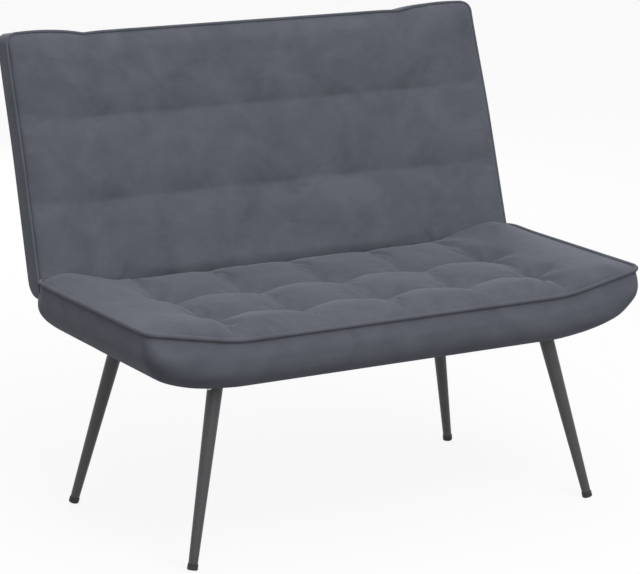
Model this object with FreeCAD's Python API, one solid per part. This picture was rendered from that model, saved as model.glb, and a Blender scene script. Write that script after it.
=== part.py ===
import FreeCAD, Part
import math
import os
from FreeCAD import Placement, Rotation, Vector

# Armless bench for two with a quilted seat and a raked, quilted back on four splayed legs.
# Millimetres. X runs along the bench, Y to the rear, Z up, with the floor at Z = 0.
# The origin is on the floor under the middle of the bench.

# Quilting grid of seat and back
COLUMN_PITCH = 180.0
TUFT_COLUMNS = (-2, -1, 0, 1, 2)
FOLD_X = 2 * COLUMN_PITCH        # the outer columns beyond this line are the wings
FOLD_BLEND = 35.0                # half the width of the soft bend at the fold
LAST_CREST_X = 450.0             # middle of a wing cell, where the panel starts to close

# Seat outline
SEAT_HALF = 549.0
SEAT_FRONT = -327.5
SEAT_REAR = 207.0                # rear face at the height of the seam
FRONT_SWEEP = 13.5               # set-back of the front corners
FRONT_CORNER = 45.0
REAR_CORNER = 130.0
SEAM_Z = 418.0                   # seam between seat panel and border, in the flat middle
WING_RISE = 33.0
UNDERSIDE_Z = 331.0
FLAT_HALF = 392.0                # half length of the flat underside
END_LENGTH = 161.0               # the rising ends are quarter ellipses of this length and height
END_HEIGHT = 125.0
END_REAR_LIFT = 14.0             # the ends of the underside rise this much more towards the rear
LIFT_RUN = 60.0                  # length over which that rise sets in
FRONT_ROUND = 45.0
REAR_ROUND = 15.0
FRONT_ROUND_SHARE = 0.5          # most of the border's height that each round takes up
REAR_ROUND_SHARE = 0.3
STRIP_SLOPE = 36.0               # length of the border's step down to the rear strip
STRIP_LEDGE = 8.0                # least width of the border's rear edge
REAR_LIFT_POWER = 6              # how late the rear edge rises to the wing tips

# Seat panel, heights above the seam
SEAT_ROWS = (-202.5, -36.5)      # tuft rows
SEAT_CREST = 31.0
SEAT_CREST_AT_TUFT = 25.0
SEAT_CREASE = 21.0
SEAT_TUFT = 9.0
SEAT_PANEL_REAR = 136.0
SEAT_PANEL_REAR_RISE = 24.0
SEAT_PANEL_DEPTH = 10.0          # from the seam down to the foam
EDGE_ROLL = 1.0                  # quilted panels stand this far above the seam at their edge

# Back, in its own upright frame: Y to the rear from the seam, Z up along the back
LEAN = 15.5
BACK_FOOT_Y = 154.0
BACK_FOOT_Z = 425.0
BACK_HALF = 527.0
BACK_LENGTH = 499.0
BACK_DEPTH = 47.8
BACK_TOP_CROWN = 9.0             # the top border stands above the seam at its rear
BACK_WING = 24.0                 # how far the wing edges come forward
BACK_TOP_EAR = 5.0               # how far the top corners stand above the middle
BACK_TOP_CORNER = 28.0
BACK_FOOT_CORNER = 12.0
BACK_FOOT_ROUND = 24.0           # lower edge of the rear side
BACK_FOOT_ROUND_SHARE = 0.7      # most of the depth that this round takes up
BACK_REAR_ROUND = 12.0
BACK_ROWS = (175.0, 336.0)       # tuft rows, 161 apart
BACK_CREST = 17.0
BACK_CREST_AT_TUFT = 12.0
BACK_CREASE = 5.0
BACK_TUFT = -10.0                # tufts are drawn in behind the seam
BACK_PANEL_DEPTH = 20.0

# Covers and welts
SKIN = 1.5
WELT_RADIUS = 4.0
WELT_OUT = 1.0                   # the welt's middle stands this far outside the border
SEAM_GAP = 3.5                   # quilted panels stop this far inside the border
BORDER_DROP = 4.0                # border's edge below the middle of the welt
WELT_BEND = 400.0                # radius of the welts where they cross the folds
WELT_REAR_RISE = 3.0
WELT_FOOT = 20.0                 # lower ends of the back's welt, above its foot
FOOT_CLEAR = 0.5                 # room round the back's foot where it sinks into the seat
STRIP_GAP = 3.0                  # between the seat panel and the rear strip
STRIP_CLEAR = 0.3                # between the rear strip and the back's foot
FOAM_CLEAR = 1.0                 # between foam and quilted panels
DUST_SIDE_MARGIN = 8.0
DUST_FRONT_MARGIN = 27.5
DUST_REAR_MARGIN = 4.0

# Timber
DECK_TOP = 378.0
DECK_THICK = 9.0
DECK_GAP = 3.0                   # between middle and wing panels, where the outer ties pass
DECK_HALF = FOLD_X - DECK_GAP / 2
RAIL_THICK = 18.0
FRONT_RAIL_Y = -286.0
MIDDLE_RAIL_Y = 54.0
RAIL_END = 515.0
REAR_RAIL_SPAN = (-110.0, -14.0) # in the back's frame
END_RIB_SETBACK = 40.0
RIB_CLEAR = 3.0
REAR_FOAM_HALF = 420.0
DECK_FRONT_LIP = 24.0            # overhang of the deck panels past the rails
DECK_REAR_MARGIN = 4.0
WING_FRONT_LIP = 6.0
WING_REAR_LIP = 14.0
LEG_BOARD_THICK = 24.0
LEG_BOARD_X = (225.0, 392.0)
LEG_BOARD_REAR = 159.0
BACK_BOARD = (30.0, 42.0)        # front and rear face of the plywood in the back
BOARD_FOOT = 13.0                # foot of the plywood above the foot of the back
CLEAT_THICK = 8.0
CLEAT_REACH = (25.0, 45.0)       # to either side of the fold
CLEAT_END = 40.0                 # from the ends of the back to those of a cleat

# Legs: axis points on the floor and at the height of the plates
LEG_TOP_Z = 330.0
LEG_FEET = {"front": (440.0, -282.7), "rear": (438.0, 211.5)}
LEG_TOPS = {"front": (363.0, -238.2), "rear": (362.7, 150.2)}
LEG_TOP_RADIUS = 14.8
LEG_FOOT_RADIUS = 8.8
LEG_WALL = 1.5
GLIDE_RADIUS = 9.9
GLIDE_HEIGHT = 12.0
GLIDE_ROUND = 2.5
GLIDE_EDGE = 1.0
PLUG_LENGTH = 14.0
PLUG_SLACK = 0.1
GLIDE_LIFT = 0.9                 # the sole's middle above the floor before it is faced level
PLATE_SIZE = (92.0, 80.0)
PLATE_THICK = 4.0
PLATE_CORNER = 10.0
PLATE_CENTRE = {"front": (347.0, -221.0), "rear": (347.0, 125.0)}
BOLT_SPACING = (74.0, 62.0)

# Steel bars that carry the back
BAR_X = 270.0
BAR_WIDTH = 45.0
BAR_THICK = 5.0
BAR_SPAN = (-60.0, 190.0)
BAR_RAIL_HOLES = (-48.0, -25.0)
BAR_BOARD_HOLES = (60.0, 115.0, 170.0)
SLOT_CLEAR = 1.0
SLOT_END_CLEAR = 5.0

# M6 fasteners and tuft ties
BOLT_RADIUS = 2.95
BOLT_HOLE = 3.3
HEAD_RADIUS = 5.25
HEAD_HEIGHT = 3.3
HEAD_TAPER = 0.7
SOCKET_RADIUS = 2.3
SOCKET_DEPTH = 2.0
WASHER_RADIUS = 6.0
WASHER_THICK = 1.2
NUT_BARREL = 3.9
NUT_HOLE = 4.0
NUT_LENGTH = 10.0
NUT_FLANGE = 7.0
NUT_FLANGE_THICK = 1.2
TIE_RADIUS = 1.5
TIE_HOLE = 2.5
TIE_WASHER_RADIUS = 9.0
TIE_WASHER_THICK = 1.4
TIE_CLEAR = 0.5                  # below the quilted panel

SIDES = {"left": -1, "right": 1}
WING_SLOPE = WING_RISE / (SEAT_HALF - FOLD_X)
BACK_WING_SLOPE = BACK_WING / (BACK_HALF - FOLD_X)
LEAN_SLOPE = math.tan(math.radians(LEAN))
INNER_FLOOR = UNDERSIDE_Z + SKIN
FOAM_TOP = SEAM_Z - SEAT_PANEL_DEPTH
REAR_STRIP_TOP = BACK_FOOT_Z - STRIP_CLEAR
BACK_PLACE = Placement(Vector(0, BACK_FOOT_Y, BACK_FOOT_Z), Rotation(Vector(1, 0, 0), -LEAN))


# Outline helpers

def line(a, b):
    return Part.LineSegment(a, b).toShape()


def arc(a, middle, b):
    return Part.Arc(a, middle, b).toShape()


def rounded_edges(points, radii, closed):
    """Straight runs through the points, with a tangent arc of the given radius at each point."""
    count = len(points)
    entries, exits, middles = [], [], []
    for i, (corner, radius) in enumerate(zip(points, radii)):
        if radius == 0:
            entries.append(corner)
            exits.append(corner)
            middles.append(None)
            continue
        back = (points[i - 1] - corner).normalize()
        ahead = (points[(i + 1) % count] - corner).normalize()
        half_angle = back.getAngle(ahead) / 2
        reach = radius / math.tan(half_angle)
        bisector = (back + ahead).normalize()
        entries.append(corner + back * reach)
        exits.append(corner + ahead * reach)
        middles.append(corner + bisector * (radius / math.sin(half_angle) - radius))
    edges = []
    for i in range(count):
        if middles[i] is not None:
            edges.append(arc(entries[i], middles[i], exits[i]))
        if closed or i < count - 1:
            edges.append(line(exits[i], entries[(i + 1) % count]))
    return edges


def rounded_wire(points, radii, closed=True):
    return Part.Wire(rounded_edges(points, radii, closed))


def slab(points, direction):
    """A prism on a polygon."""
    return Part.Face(Part.makePolygon(points + points[:1])).extrude(direction)


def box(x, y, z):
    """A box between pairs of limits."""
    return Part.makeBox(x[1] - x[0], y[1] - y[0], z[1] - z[0], Vector(x[0], y[0], z[0]))


def rod(radius, start, end):
    axis = end - start
    return Part.makeCylinder(radius, axis.Length, start, axis)


def on_back(shape):
    """Moves a shape from the back's upright frame to its raked place."""
    shape.Placement = BACK_PLACE.multiply(shape.Placement)
    return shape


def mirrored(shape):
    return shape.mirror(Vector(0, 0, 0), Vector(1, 0, 0))


# Form of the seat and of the back

def past_fold(x):
    """Distance beyond the fold line, with a soft start."""
    beyond = abs(x) - FOLD_X
    if abs(beyond) < FOLD_BLEND:
        return (beyond + FOLD_BLEND) ** 2 / (4 * FOLD_BLEND)
    return max(beyond, 0.0)


def rise(x):
    return WING_SLOPE * past_fold(x)


def forward(x):
    return BACK_WING_SLOPE * past_fold(x)


def corner_cut(x, half, radius):
    """How far a plan corner of this radius has drawn the edge in at x."""
    into = abs(x) - (half - radius)
    if into <= 0:
        return 0.0
    return radius - math.sqrt(radius ** 2 - into ** 2)


def stations(half):
    """Section places along X, closer together towards the ends."""
    bend_end = FOLD_X + FOLD_BLEND
    steps = 7
    places = [COLUMN_PITCH * 2 / 3, COLUMN_PITCH * 4 / 3, FOLD_X - FOLD_BLEND, FOLD_X]
    places += [FOLD_X + FOLD_BLEND / 2, bend_end, FLAT_HALF + LIFT_RUN / 4]
    places += [bend_end + (half - bend_end) * math.sin(math.pi / 2 * i / steps) for i in range(1, steps + 1)]
    return [-x for x in reversed(places)] + [0.0] + places


def panel_stations(half):
    """Section places of a quilted panel: tufts, crests between them and the closing edges."""
    places = [COLUMN_PITCH * i / 2 for i in range(1, 6)]
    places += [LAST_CREST_X + (half - LAST_CREST_X) * share for share in (0.45, 0.78, 0.93, 0.985)]
    return [-x for x in reversed(places)] + [0.0] + places


def quilt(x, at_tuft, at_crest, half):
    """Height of a row line at x: it waves between tuft and crest, and closes towards the outer edge."""
    if abs(x) <= LAST_CREST_X:
        pull = 0.5 + 0.5 * math.cos(2 * math.pi * x / COLUMN_PITCH)
        return at_crest + (at_tuft - at_crest) * pull
    into = (abs(x) - LAST_CREST_X) / (half - LAST_CREST_X)
    return at_crest * math.sqrt(1 - into ** 2)


def front_y(x, inset):
    wing = past_fold(x) / (SEAT_HALF - FOLD_X)
    return SEAT_FRONT + inset + FRONT_SWEEP * wing + corner_cut(x, SEAT_HALF - inset, FRONT_CORNER - inset)


def rear_y(x, z, inset):
    cut = corner_cut(x, SEAT_HALF - inset, REAR_CORNER - inset)
    return SEAT_REAR - inset + (z - SEAM_Z) * LEAN_SLOPE - cut


def underside(x, inset):
    into = max(0.0, abs(x) - FLAT_HALF) / (END_LENGTH - inset)
    return UNDERSIDE_Z + inset + (END_HEIGHT - inset) * (1 - math.sqrt(1 - into ** 2))


def rear_lift(x, y):
    """How much more the underside of an end has risen at y."""
    into = max(0.0, abs(x) - FLAT_HALF)
    set_in = min(into / LIFT_RUN, 1.0)
    height = math.sqrt(1 - (into / END_LENGTH) ** 2)
    share = (y - SEAT_FRONT) / (SEAT_REAR - SEAT_FRONT)
    return END_REAR_LIFT * set_in ** 2 * (3 - 2 * set_in) * height * share


def seat_section(x, inset, lift):
    """Cross section of the seat border's form at x, with its upper edge raised by lift."""
    floor = underside(x, inset)
    rear_floor = floor + rear_lift(x, SEAT_REAR)
    front = front_y(x, inset)
    edge = SEAM_Z - BORDER_DROP + rise(x) + lift
    strip = REAR_STRIP_TOP - SKIN + lift
    into = max(0.0, abs(x) - (SEAT_HALF - REAR_CORNER)) / REAR_CORNER
    rear_edge = strip + (edge - strip) * into ** REAR_LIFT_POWER
    rear_top = rear_y(x, rear_edge, inset)
    shoulder = min(SEAT_PANEL_REAR, rear_top - STRIP_LEDGE)
    points = [
        (front, edge), (front, floor), (rear_y(x, rear_floor, inset), rear_floor),
        (rear_top, rear_edge), (shoulder, rear_edge), (shoulder - STRIP_SLOPE, edge),
    ]
    front_round = min(FRONT_ROUND - inset, FRONT_ROUND_SHARE * (edge - floor))
    rear_round = min(REAR_ROUND, REAR_ROUND_SHARE * (edge - rear_floor))
    radii = [0, front_round, rear_round, 0, 0, 0]
    return rounded_wire([Vector(x, y, z) for y, z in points], radii)


def seat_form(inset, lift):
    half = SEAT_HALF - inset
    return Part.makeLoft([seat_section(x, inset, lift) for x in stations(half)], True, False)


def top_z(x, inset, half):
    """Top edge of the back, whose corners stand up a little."""
    ear = BACK_TOP_EAR * past_fold(x) / (BACK_HALF - FOLD_X)
    return BACK_LENGTH + ear - inset - corner_cut(x, half, BACK_TOP_CORNER - inset)


def back_section(x, inset, open_front):
    """Cross section of the back cover's form at x, in the back's frame."""
    half = BACK_HALF - inset
    front = BORDER_DROP - forward(x) - open_front
    rear = BACK_DEPTH - inset - forward(x) - corner_cut(x, half, BACK_REAR_ROUND)
    top = top_z(x, inset, half)
    foot = inset + corner_cut(x, half, BACK_FOOT_CORNER - inset)
    points = [
        (front, foot + front * LEAN_SLOPE), (rear, foot + rear * LEAN_SLOPE),
        (rear, top + BACK_TOP_CROWN), (front, top),
    ]
    foot_round = min(BACK_FOOT_ROUND - inset, BACK_FOOT_ROUND_SHARE * (rear - front))
    radii = [0, foot_round, BACK_REAR_ROUND, 0]
    return rounded_wire([Vector(x, y, z) for y, z in points], radii)


def back_form(inset, open_front):
    half = BACK_HALF - inset
    return Part.makeLoft([back_section(x, inset, open_front) for x in stations(half)], True, False)


def foot_room():
    """The space that the back's foot takes up in the seat."""
    return on_back(back_form(-FOOT_CLEAR, 2 * BORDER_DROP))


def winged_band(slope, low, high, half, to_point, direction):
    """A prism on a band that is flat in the middle and turns along the slope past the folds."""
    reach = slope * (half - FOLD_X)
    lower = [(-half, low + reach), (-FOLD_X, low), (FOLD_X, low), (half, low + reach)]
    upper = [(half, high + reach), (FOLD_X, high), (-FOLD_X, high), (-half, high + reach)]
    return slab([to_point(x, level) for x, level in lower + upper], direction)


# Upholstery of the seat

def seat_panel_section(x, half):
    front = front_y(x, SEAM_GAP)
    seam = SEAM_Z + rise(x)
    crest = seam + quilt(x, SEAT_CREST_AT_TUFT, SEAT_CREST, half)
    crease = seam + quilt(x, SEAT_TUFT, SEAT_CREASE, half)
    rear_top = seam + quilt(x, SEAT_PANEL_REAR_RISE, SEAT_PANEL_REAR_RISE, half)
    rear = SEAT_PANEL_REAR - corner_cut(x, half, FRONT_CORNER)
    under = seam - SEAT_PANEL_DEPTH
    rows = [front + (y - SEAT_FRONT) * (SEAT_PANEL_REAR - front) / (SEAT_PANEL_REAR - SEAT_FRONT)
            for y in SEAT_ROWS]
    stops = [(front, seam + EDGE_ROLL), (rows[0], crease), (rows[1], crease), (rear, rear_top)]
    spots = [Vector(x, y, z) for y, z in stops]
    under_rear = Vector(x, rear - (rear_top - under) * LEAN_SLOPE, under)
    under_front = Vector(x, front, under)
    edges = [line(under_front, spots[0])]
    for start, end in zip(spots, spots[1:]):
        top = Vector(x, (start.y + end.y) / 2, crest)
        edges.append(arc(start, top, end))
    edges += [line(spots[-1], under_rear), line(under_rear, under_front)]
    return Part.Wire(edges)


def seat_panel():
    half = SEAT_HALF - SEAM_GAP
    return Part.makeLoft([seat_panel_section(x, half) for x in panel_stations(half)], True, False)


def dust_cover_outline(z):
    side = FLAT_HALF - DUST_SIDE_MARGIN
    front = SEAT_FRONT + FRONT_ROUND + DUST_FRONT_MARGIN
    rear = LEG_BOARD_REAR - DUST_REAR_MARGIN
    corners = [(-side, front), (side, front), (side, rear), (-side, rear)]
    return rounded_wire([Vector(x, y, z) for x, y in corners], [PLATE_CORNER] * 4)


def leg_bolt_holes():
    spare = 2 * SKIN
    low, high = UNDERSIDE_Z - spare, INNER_FLOOR + spare
    rods = [rod(BOLT_HOLE, Vector(x, y, low), Vector(x, y, high)) for x, y in all_leg_bolt_places()]
    return Part.makeCompound(rods)


def dust_cover():
    sheet = Part.Face(dust_cover_outline(UNDERSIDE_Z)).extrude(Vector(0, 0, SKIN))
    return sheet.cut(leg_bolt_holes())


def seat_border():
    opening = Part.Face(dust_cover_outline(UNDERSIDE_Z - SKIN)).extrude(Vector(0, 0, 3 * SKIN))
    border = seat_form(0, 0).cut(seat_form(SKIN, 4 * SKIN)).cut(opening).cut(leg_bolt_holes())
    return border.cut(foot_room())


def rear_strip():
    """The padded strip behind the seat panel, on which the back stands."""
    start = SEAT_PANEL_REAR + STRIP_GAP
    reach = SEAT_HALF - REAR_CORNER
    inset = 2 * SKIN
    rear = rear_y(0, FOAM_TOP, inset)
    side = reach + math.sqrt((REAR_CORNER - inset) ** 2 - (start - rear + REAR_CORNER - inset) ** 2)
    middle_turn = math.asin((start - rear + REAR_CORNER - inset) / (REAR_CORNER - inset)) / 2 + math.pi / 4
    bulge_x = reach + (REAR_CORNER - inset) * math.cos(middle_turn)
    bulge_y = rear - (REAR_CORNER - inset) * (1 - math.sin(middle_turn))
    spots = [Vector(-side, start, FOAM_TOP), Vector(side, start, FOAM_TOP)]
    spots += [Vector(reach, rear, FOAM_TOP), Vector(-reach, rear, FOAM_TOP)]
    edges = [
        line(spots[0], spots[1]),
        arc(spots[1], Vector(bulge_x, bulge_y, FOAM_TOP), spots[2]),
        line(spots[2], spots[3]),
        arc(spots[3], Vector(-bulge_x, bulge_y, FOAM_TOP), spots[0]),
    ]
    strip = Part.Face(Part.Wire(edges)).extrude(Vector(0, 0, REAR_STRIP_TOP - FOAM_TOP))
    return strip.cut(bar_slots())


def seat_foam():
    band = winged_band(
        WING_SLOPE, DECK_TOP, FOAM_TOP - FOAM_CLEAR, SEAT_HALF,
        lambda x, z: Vector(x, SEAT_FRONT, z), Vector(0, SEAT_PANEL_REAR - SEAT_FRONT, 0))
    band = band.common(seat_form(2 * SKIN, 4 * SKIN))
    rear = box((-REAR_FOAM_HALF, REAR_FOAM_HALF), (SEAT_PANEL_REAR, LEG_BOARD_REAR),
               (DECK_TOP, FOAM_TOP - FOAM_CLEAR))
    return band.fuse(rear).removeSplitter().cut(seat_tie_rods(TIE_HOLE)).cut(foot_room())


def welt(points, radii):
    """A round piping along straight runs joined by tangent arcs."""
    path = rounded_wire(points, radii, closed=False)
    start = points[0]
    ring = Part.Wire(Part.makeCircle(WELT_RADIUS, start, points[1] - start))
    return path.makePipeShell([ring], True, False)


def seat_welt():
    side = SEAT_HALF + WELT_OUT
    front = SEAT_FRONT - WELT_OUT
    corner_z = SEAM_Z + WING_RISE
    end_y = SEAT_PANEL_REAR - FRONT_CORNER
    half = [(side, end_y, corner_z + WELT_REAR_RISE), (side, front + FRONT_SWEEP, corner_z),
            (FOLD_X, front, SEAM_Z)]
    points = [Vector(-x, y, z) for x, y, z in half] + [Vector(*spot) for spot in reversed(half)]
    return welt(points, [0, FRONT_CORNER, WELT_BEND, WELT_BEND, FRONT_CORNER, 0])


# Timber of the seat

def boat_rail(y):
    """A cross rail whose lower edge follows the rising ends and whose top carries the deck."""
    top = DECK_TOP - DECK_THICK
    end_top = top + WING_SLOPE * (RAIL_END - FOLD_X)
    clear = 2.5
    middle_x = (FLAT_HALF + RAIL_END) / 2
    foot = [Vector(FLAT_HALF, y, INNER_FLOOR)]
    foot += [Vector(x, y, underside(x, SKIN) + rear_lift(x, y + RAIL_THICK) + clear)
             for x in (middle_x, RAIL_END)]
    crown = [Vector(RAIL_END, y, end_top), Vector(FOLD_X, y, top)]
    flip = [Vector(-p.x, p.y, p.z) for p in foot + crown]
    edges = [
        line(flip[0], foot[0]), arc(*foot), line(foot[2], crown[0]), line(crown[0], crown[1]),
        line(crown[1], flip[4]), line(flip[4], flip[3]), line(flip[3], flip[2]),
        arc(flip[2], flip[1], flip[0]),
    ]
    return Part.Face(Part.Wire(edges)).extrude(Vector(0, RAIL_THICK, 0))


def leg_board():
    board = box(LEG_BOARD_X, (FRONT_RAIL_Y + RAIL_THICK, LEG_BOARD_REAR),
                (INNER_FLOOR, INNER_FLOOR + LEG_BOARD_THICK))
    holes = [rod(NUT_HOLE, Vector(x, y, INNER_FLOOR), Vector(x, y, INNER_FLOOR + LEG_BOARD_THICK))
             for x, y in leg_bolt_places()]
    return board.cut(Part.makeCompound(holes))


def front_rail():
    return boat_rail(FRONT_RAIL_Y).common(seat_form(2 * SKIN, 0))


def middle_rail(boards):
    return boat_rail(MIDDLE_RAIL_Y).cut(Part.makeCompound(boards))


def rear_rail():
    """The rail that carries the back, raked in line with the board of the back."""
    reach = SEAT_HALF - REAR_CORNER
    face = BACK_BOARD[0]
    rail = on_back(box((-reach, reach), (face, face + RAIL_THICK), REAR_RAIL_SPAN))
    rail = rail.common(seat_form(2 * SKIN, 0))
    holes = [rod(NUT_HOLE, Vector(x, face, z), Vector(x, face + RAIL_THICK, z))
             for x, z in bar_places("rail")]
    return rail.cut(on_back(Part.makeCompound(holes)))


def inner_rib():
    """A rib between the rails, under the middle of the deck."""
    x = COLUMN_PITCH / 2
    return box((x - RAIL_THICK / 2, x + RAIL_THICK / 2), (FRONT_RAIL_Y + RAIL_THICK, MIDDLE_RAIL_Y),
               (INNER_FLOOR, DECK_TOP - DECK_THICK))


def end_rib():
    """A rib between the rails near the tip of a wing."""
    outer = RAIL_END - END_RIB_SETBACK
    inner = outer - RAIL_THICK
    top = DECK_TOP - DECK_THICK
    foot = underside(outer, SKIN) + rear_lift(outer, MIDDLE_RAIL_Y) + RIB_CLEAR
    outline = [(inner, foot), (outer, foot), (outer, top + WING_SLOPE * (outer - FOLD_X)),
               (inner, top + WING_SLOPE * (inner - FOLD_X))]
    start = FRONT_RAIL_Y + RAIL_THICK
    return slab([Vector(x, start, z) for x, z in outline], Vector(0, MIDDLE_RAIL_Y - start, 0))


def deck_centre():
    depth = (FRONT_RAIL_Y - DECK_FRONT_LIP, LEG_BOARD_REAR - DECK_REAR_MARGIN)
    deck = box((-DECK_HALF, DECK_HALF), depth, (DECK_TOP - DECK_THICK, DECK_TOP))
    return deck.cut(seat_tie_rods(TIE_HOLE))


def deck_wing():
    start = DECK_HALF + DECK_GAP
    low = DECK_TOP - DECK_THICK
    ends = [(x, WING_SLOPE * (x - FOLD_X)) for x in (start, RAIL_END)]
    front = FRONT_RAIL_Y - WING_FRONT_LIP
    rear = MIDDLE_RAIL_Y + RAIL_THICK + WING_REAR_LIP
    outline = [Vector(x, front, low + up) for x, up in ends]
    outline += [Vector(x, front, DECK_TOP + up) for x, up in reversed(ends)]
    wing = slab(outline, Vector(0, rear - front, 0))
    return wing.cut(seat_tie_rods(TIE_HOLE))


# Tuft ties

def seat_tie_rods(radius):
    low = DECK_TOP - DECK_THICK - TIE_WASHER_THICK
    high = FOAM_TOP - TIE_CLEAR
    rods = [rod(radius, Vector(i * COLUMN_PITCH, y, low), Vector(i * COLUMN_PITCH, y, high))
            for i in TUFT_COLUMNS for y in SEAT_ROWS]
    return Part.makeCompound(rods)


def seat_tie_washers():
    high = DECK_TOP - DECK_THICK
    low = high - TIE_WASHER_THICK
    rings = []
    for i in TUFT_COLUMNS:
        for y in SEAT_ROWS:
            start = Vector(i * COLUMN_PITCH, y, low)
            end = Vector(i * COLUMN_PITCH, y, high)
            rings.append(rod(TIE_WASHER_RADIUS, start, end).cut(rod(TIE_HOLE, start, end)))
    return Part.makeCompound(rings)


def back_tie_rods(radius):
    rods = []
    for i in TUFT_COLUMNS:
        for z in BACK_ROWS:
            start = Vector(i * COLUMN_PITCH, BACK_PANEL_DEPTH + TIE_CLEAR, z)
            rods.append(rod(radius, start, Vector(start.x, BACK_BOARD[1] + TIE_WASHER_THICK, z)))
    return Part.makeCompound(rods)


def back_tie_washers():
    rings = []
    for i in TUFT_COLUMNS:
        for z in BACK_ROWS:
            start = Vector(i * COLUMN_PITCH, BACK_BOARD[1], z)
            end = Vector(start.x, BACK_BOARD[1] + TIE_WASHER_THICK, z)
            rings.append(rod(TIE_WASHER_RADIUS, start, end).cut(rod(TIE_HOLE, start, end)))
    return on_back(Part.makeCompound(rings))


# Back

def back_panel_section(x, half):
    seam = -forward(x)
    crest = seam - quilt(x, BACK_CREST_AT_TUFT, BACK_CREST, half)
    crease = seam - quilt(x, BACK_TUFT, BACK_CREASE, half)
    foot = SEAM_GAP + corner_cut(x, half, BACK_FOOT_CORNER - SEAM_GAP)
    top = top_z(x, SEAM_GAP, half)
    rear = seam + BACK_PANEL_DEPTH
    edge = seam - EDGE_ROLL
    stops = [(edge, foot), (crease, BACK_ROWS[0]), (crease, BACK_ROWS[1]), (edge, top)]
    spots = [Vector(x, y, z) for y, z in stops]
    rear_foot = Vector(x, rear, foot + BACK_PANEL_DEPTH * LEAN_SLOPE)
    rear_top = Vector(x, rear, top)
    edges = [line(rear_foot, spots[0])]
    for start, end in zip(spots, spots[1:]):
        middle = Vector(x, crest, (start.z + end.z) / 2)
        edges.append(arc(start, middle, end))
    edges += [line(spots[-1], rear_top), line(rear_top, rear_foot)]
    return Part.Wire(edges)


def back_panel():
    half = BACK_HALF - SEAM_GAP
    return on_back(Part.makeLoft([back_panel_section(x, half) for x in panel_stations(half)], True, False))


def back_cover():
    cover = back_form(0, 0).cut(back_form(SKIN, 4 * BORDER_DROP))
    return on_back(cover).cut(bar_slots())


def back_foam():
    band = winged_band(
        -BACK_WING_SLOPE, BACK_PANEL_DEPTH + FOAM_CLEAR, BACK_BOARD[0], BACK_HALF,
        lambda x, y: Vector(x, y, 0), Vector(0, 0, BACK_LENGTH))
    foam = band.common(back_form(2 * SKIN, 0))
    foam = foam.cut(back_tie_rods(TIE_HOLE))
    for side in SIDES.values():
        foam = foam.cut(back_cleat() if side > 0 else mirrored(back_cleat()))
    return on_back(foam).cut(bar_slots())


def back_board():
    face, rear = BACK_BOARD
    lowest = BOARD_FOOT + rear * LEAN_SLOPE
    board = box((-DECK_HALF, DECK_HALF), BACK_BOARD, (lowest, BACK_LENGTH - 2 * SKIN))
    holes = [rod(NUT_HOLE, Vector(x, face, z), Vector(x, rear, z)) for x, z in bar_places("board")]
    return on_back(board.cut(Part.makeCompound(holes)).cut(back_tie_rods(TIE_HOLE)))


def back_wing_board():
    face, rear = BACK_BOARD
    ends = [(x, -BACK_WING_SLOPE * (x - FOLD_X)) for x in (DECK_HALF + DECK_GAP, RAIL_END)]
    outline = [Vector(x, face + y, 0) for x, y in ends]
    outline += [Vector(x, rear + y, 0) for x, y in reversed(ends)]
    board = slab(outline, Vector(0, 0, BACK_LENGTH - 2 * SKIN))
    return board.common(back_form(2 * SKIN, 0)).cut(back_tie_rods(TIE_HOLE))


def back_cleat():
    """The bent strip that joins a wing board to the middle board, on their front."""
    face = BACK_BOARD[0]
    inner = FOLD_X - CLEAT_REACH[0]
    outer = FOLD_X + CLEAT_REACH[1]
    bend = -BACK_WING_SLOPE * (outer - FOLD_X)
    outline = [(inner, face), (inner, face - CLEAT_THICK), (FOLD_X, face - CLEAT_THICK),
               (outer, face - CLEAT_THICK + bend), (outer, face + bend), (FOLD_X, face)]
    strip = slab([Vector(x, y, CLEAT_END) for x, y in outline], Vector(0, 0, BACK_LENGTH - 2 * CLEAT_END))
    return strip.cut(back_tie_rods(TIE_HOLE))


def back_welt():
    """The piping up one side, over the top and down the other, tucked in behind the seat at its ends."""
    side = BACK_HALF + WELT_OUT
    top = BACK_LENGTH + WELT_OUT
    half = [(side, -BACK_WING, WELT_FOOT, 0), (side, -BACK_WING, top + BACK_TOP_EAR, BACK_TOP_CORNER),
            (FOLD_X, 0, top, WELT_BEND)]
    spots = half + [(-x, y, z, r) for x, y, z, r in reversed(half)]
    return on_back(welt([Vector(x, y, z) for x, y, z, r in spots], [r for x, y, z, r in spots]))


# Steel bars of the back

def bar_places(part):
    heights = BAR_RAIL_HOLES if part == "rail" else BAR_BOARD_HOLES
    return [(side * BAR_X, z) for side in SIDES.values() for z in heights]


def bar_slots():
    """Room for the bars and their bolt heads, for what they pass through."""
    reach = BAR_WIDTH / 2 + SLOT_CLEAR
    depth = (BACK_BOARD[0] - BAR_THICK - HEAD_HEIGHT - SLOT_CLEAR, BACK_BOARD[0])
    span = (BAR_SPAN[0] - SLOT_END_CLEAR, BAR_SPAN[1] + SLOT_END_CLEAR)
    slots = [box((side * BAR_X - reach, side * BAR_X + reach), depth, span) for side in SIDES.values()]
    return on_back(Part.makeCompound(slots))


def back_bar(side):
    face = BACK_BOARD[0]
    low, high = BAR_SPAN
    left = side * BAR_X - BAR_WIDTH / 2
    right = side * BAR_X + BAR_WIDTH / 2
    corners = [Vector(left, face - BAR_THICK, low), Vector(right, face - BAR_THICK, low)]
    corners += [Vector(right, face - BAR_THICK, high), Vector(left, face - BAR_THICK, high)]
    bar = Part.Face(rounded_wire(corners, [PLATE_CORNER] * 4)).extrude(Vector(0, BAR_THICK, 0))
    for x, z in bar_places("rail") + bar_places("board"):
        bar = bar.cut(rod(BOLT_HOLE, Vector(x, face - BAR_THICK, z), Vector(x, face, z)))
    return on_back(bar)


# Fasteners, each drawn along the direction in which it is driven

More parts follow.
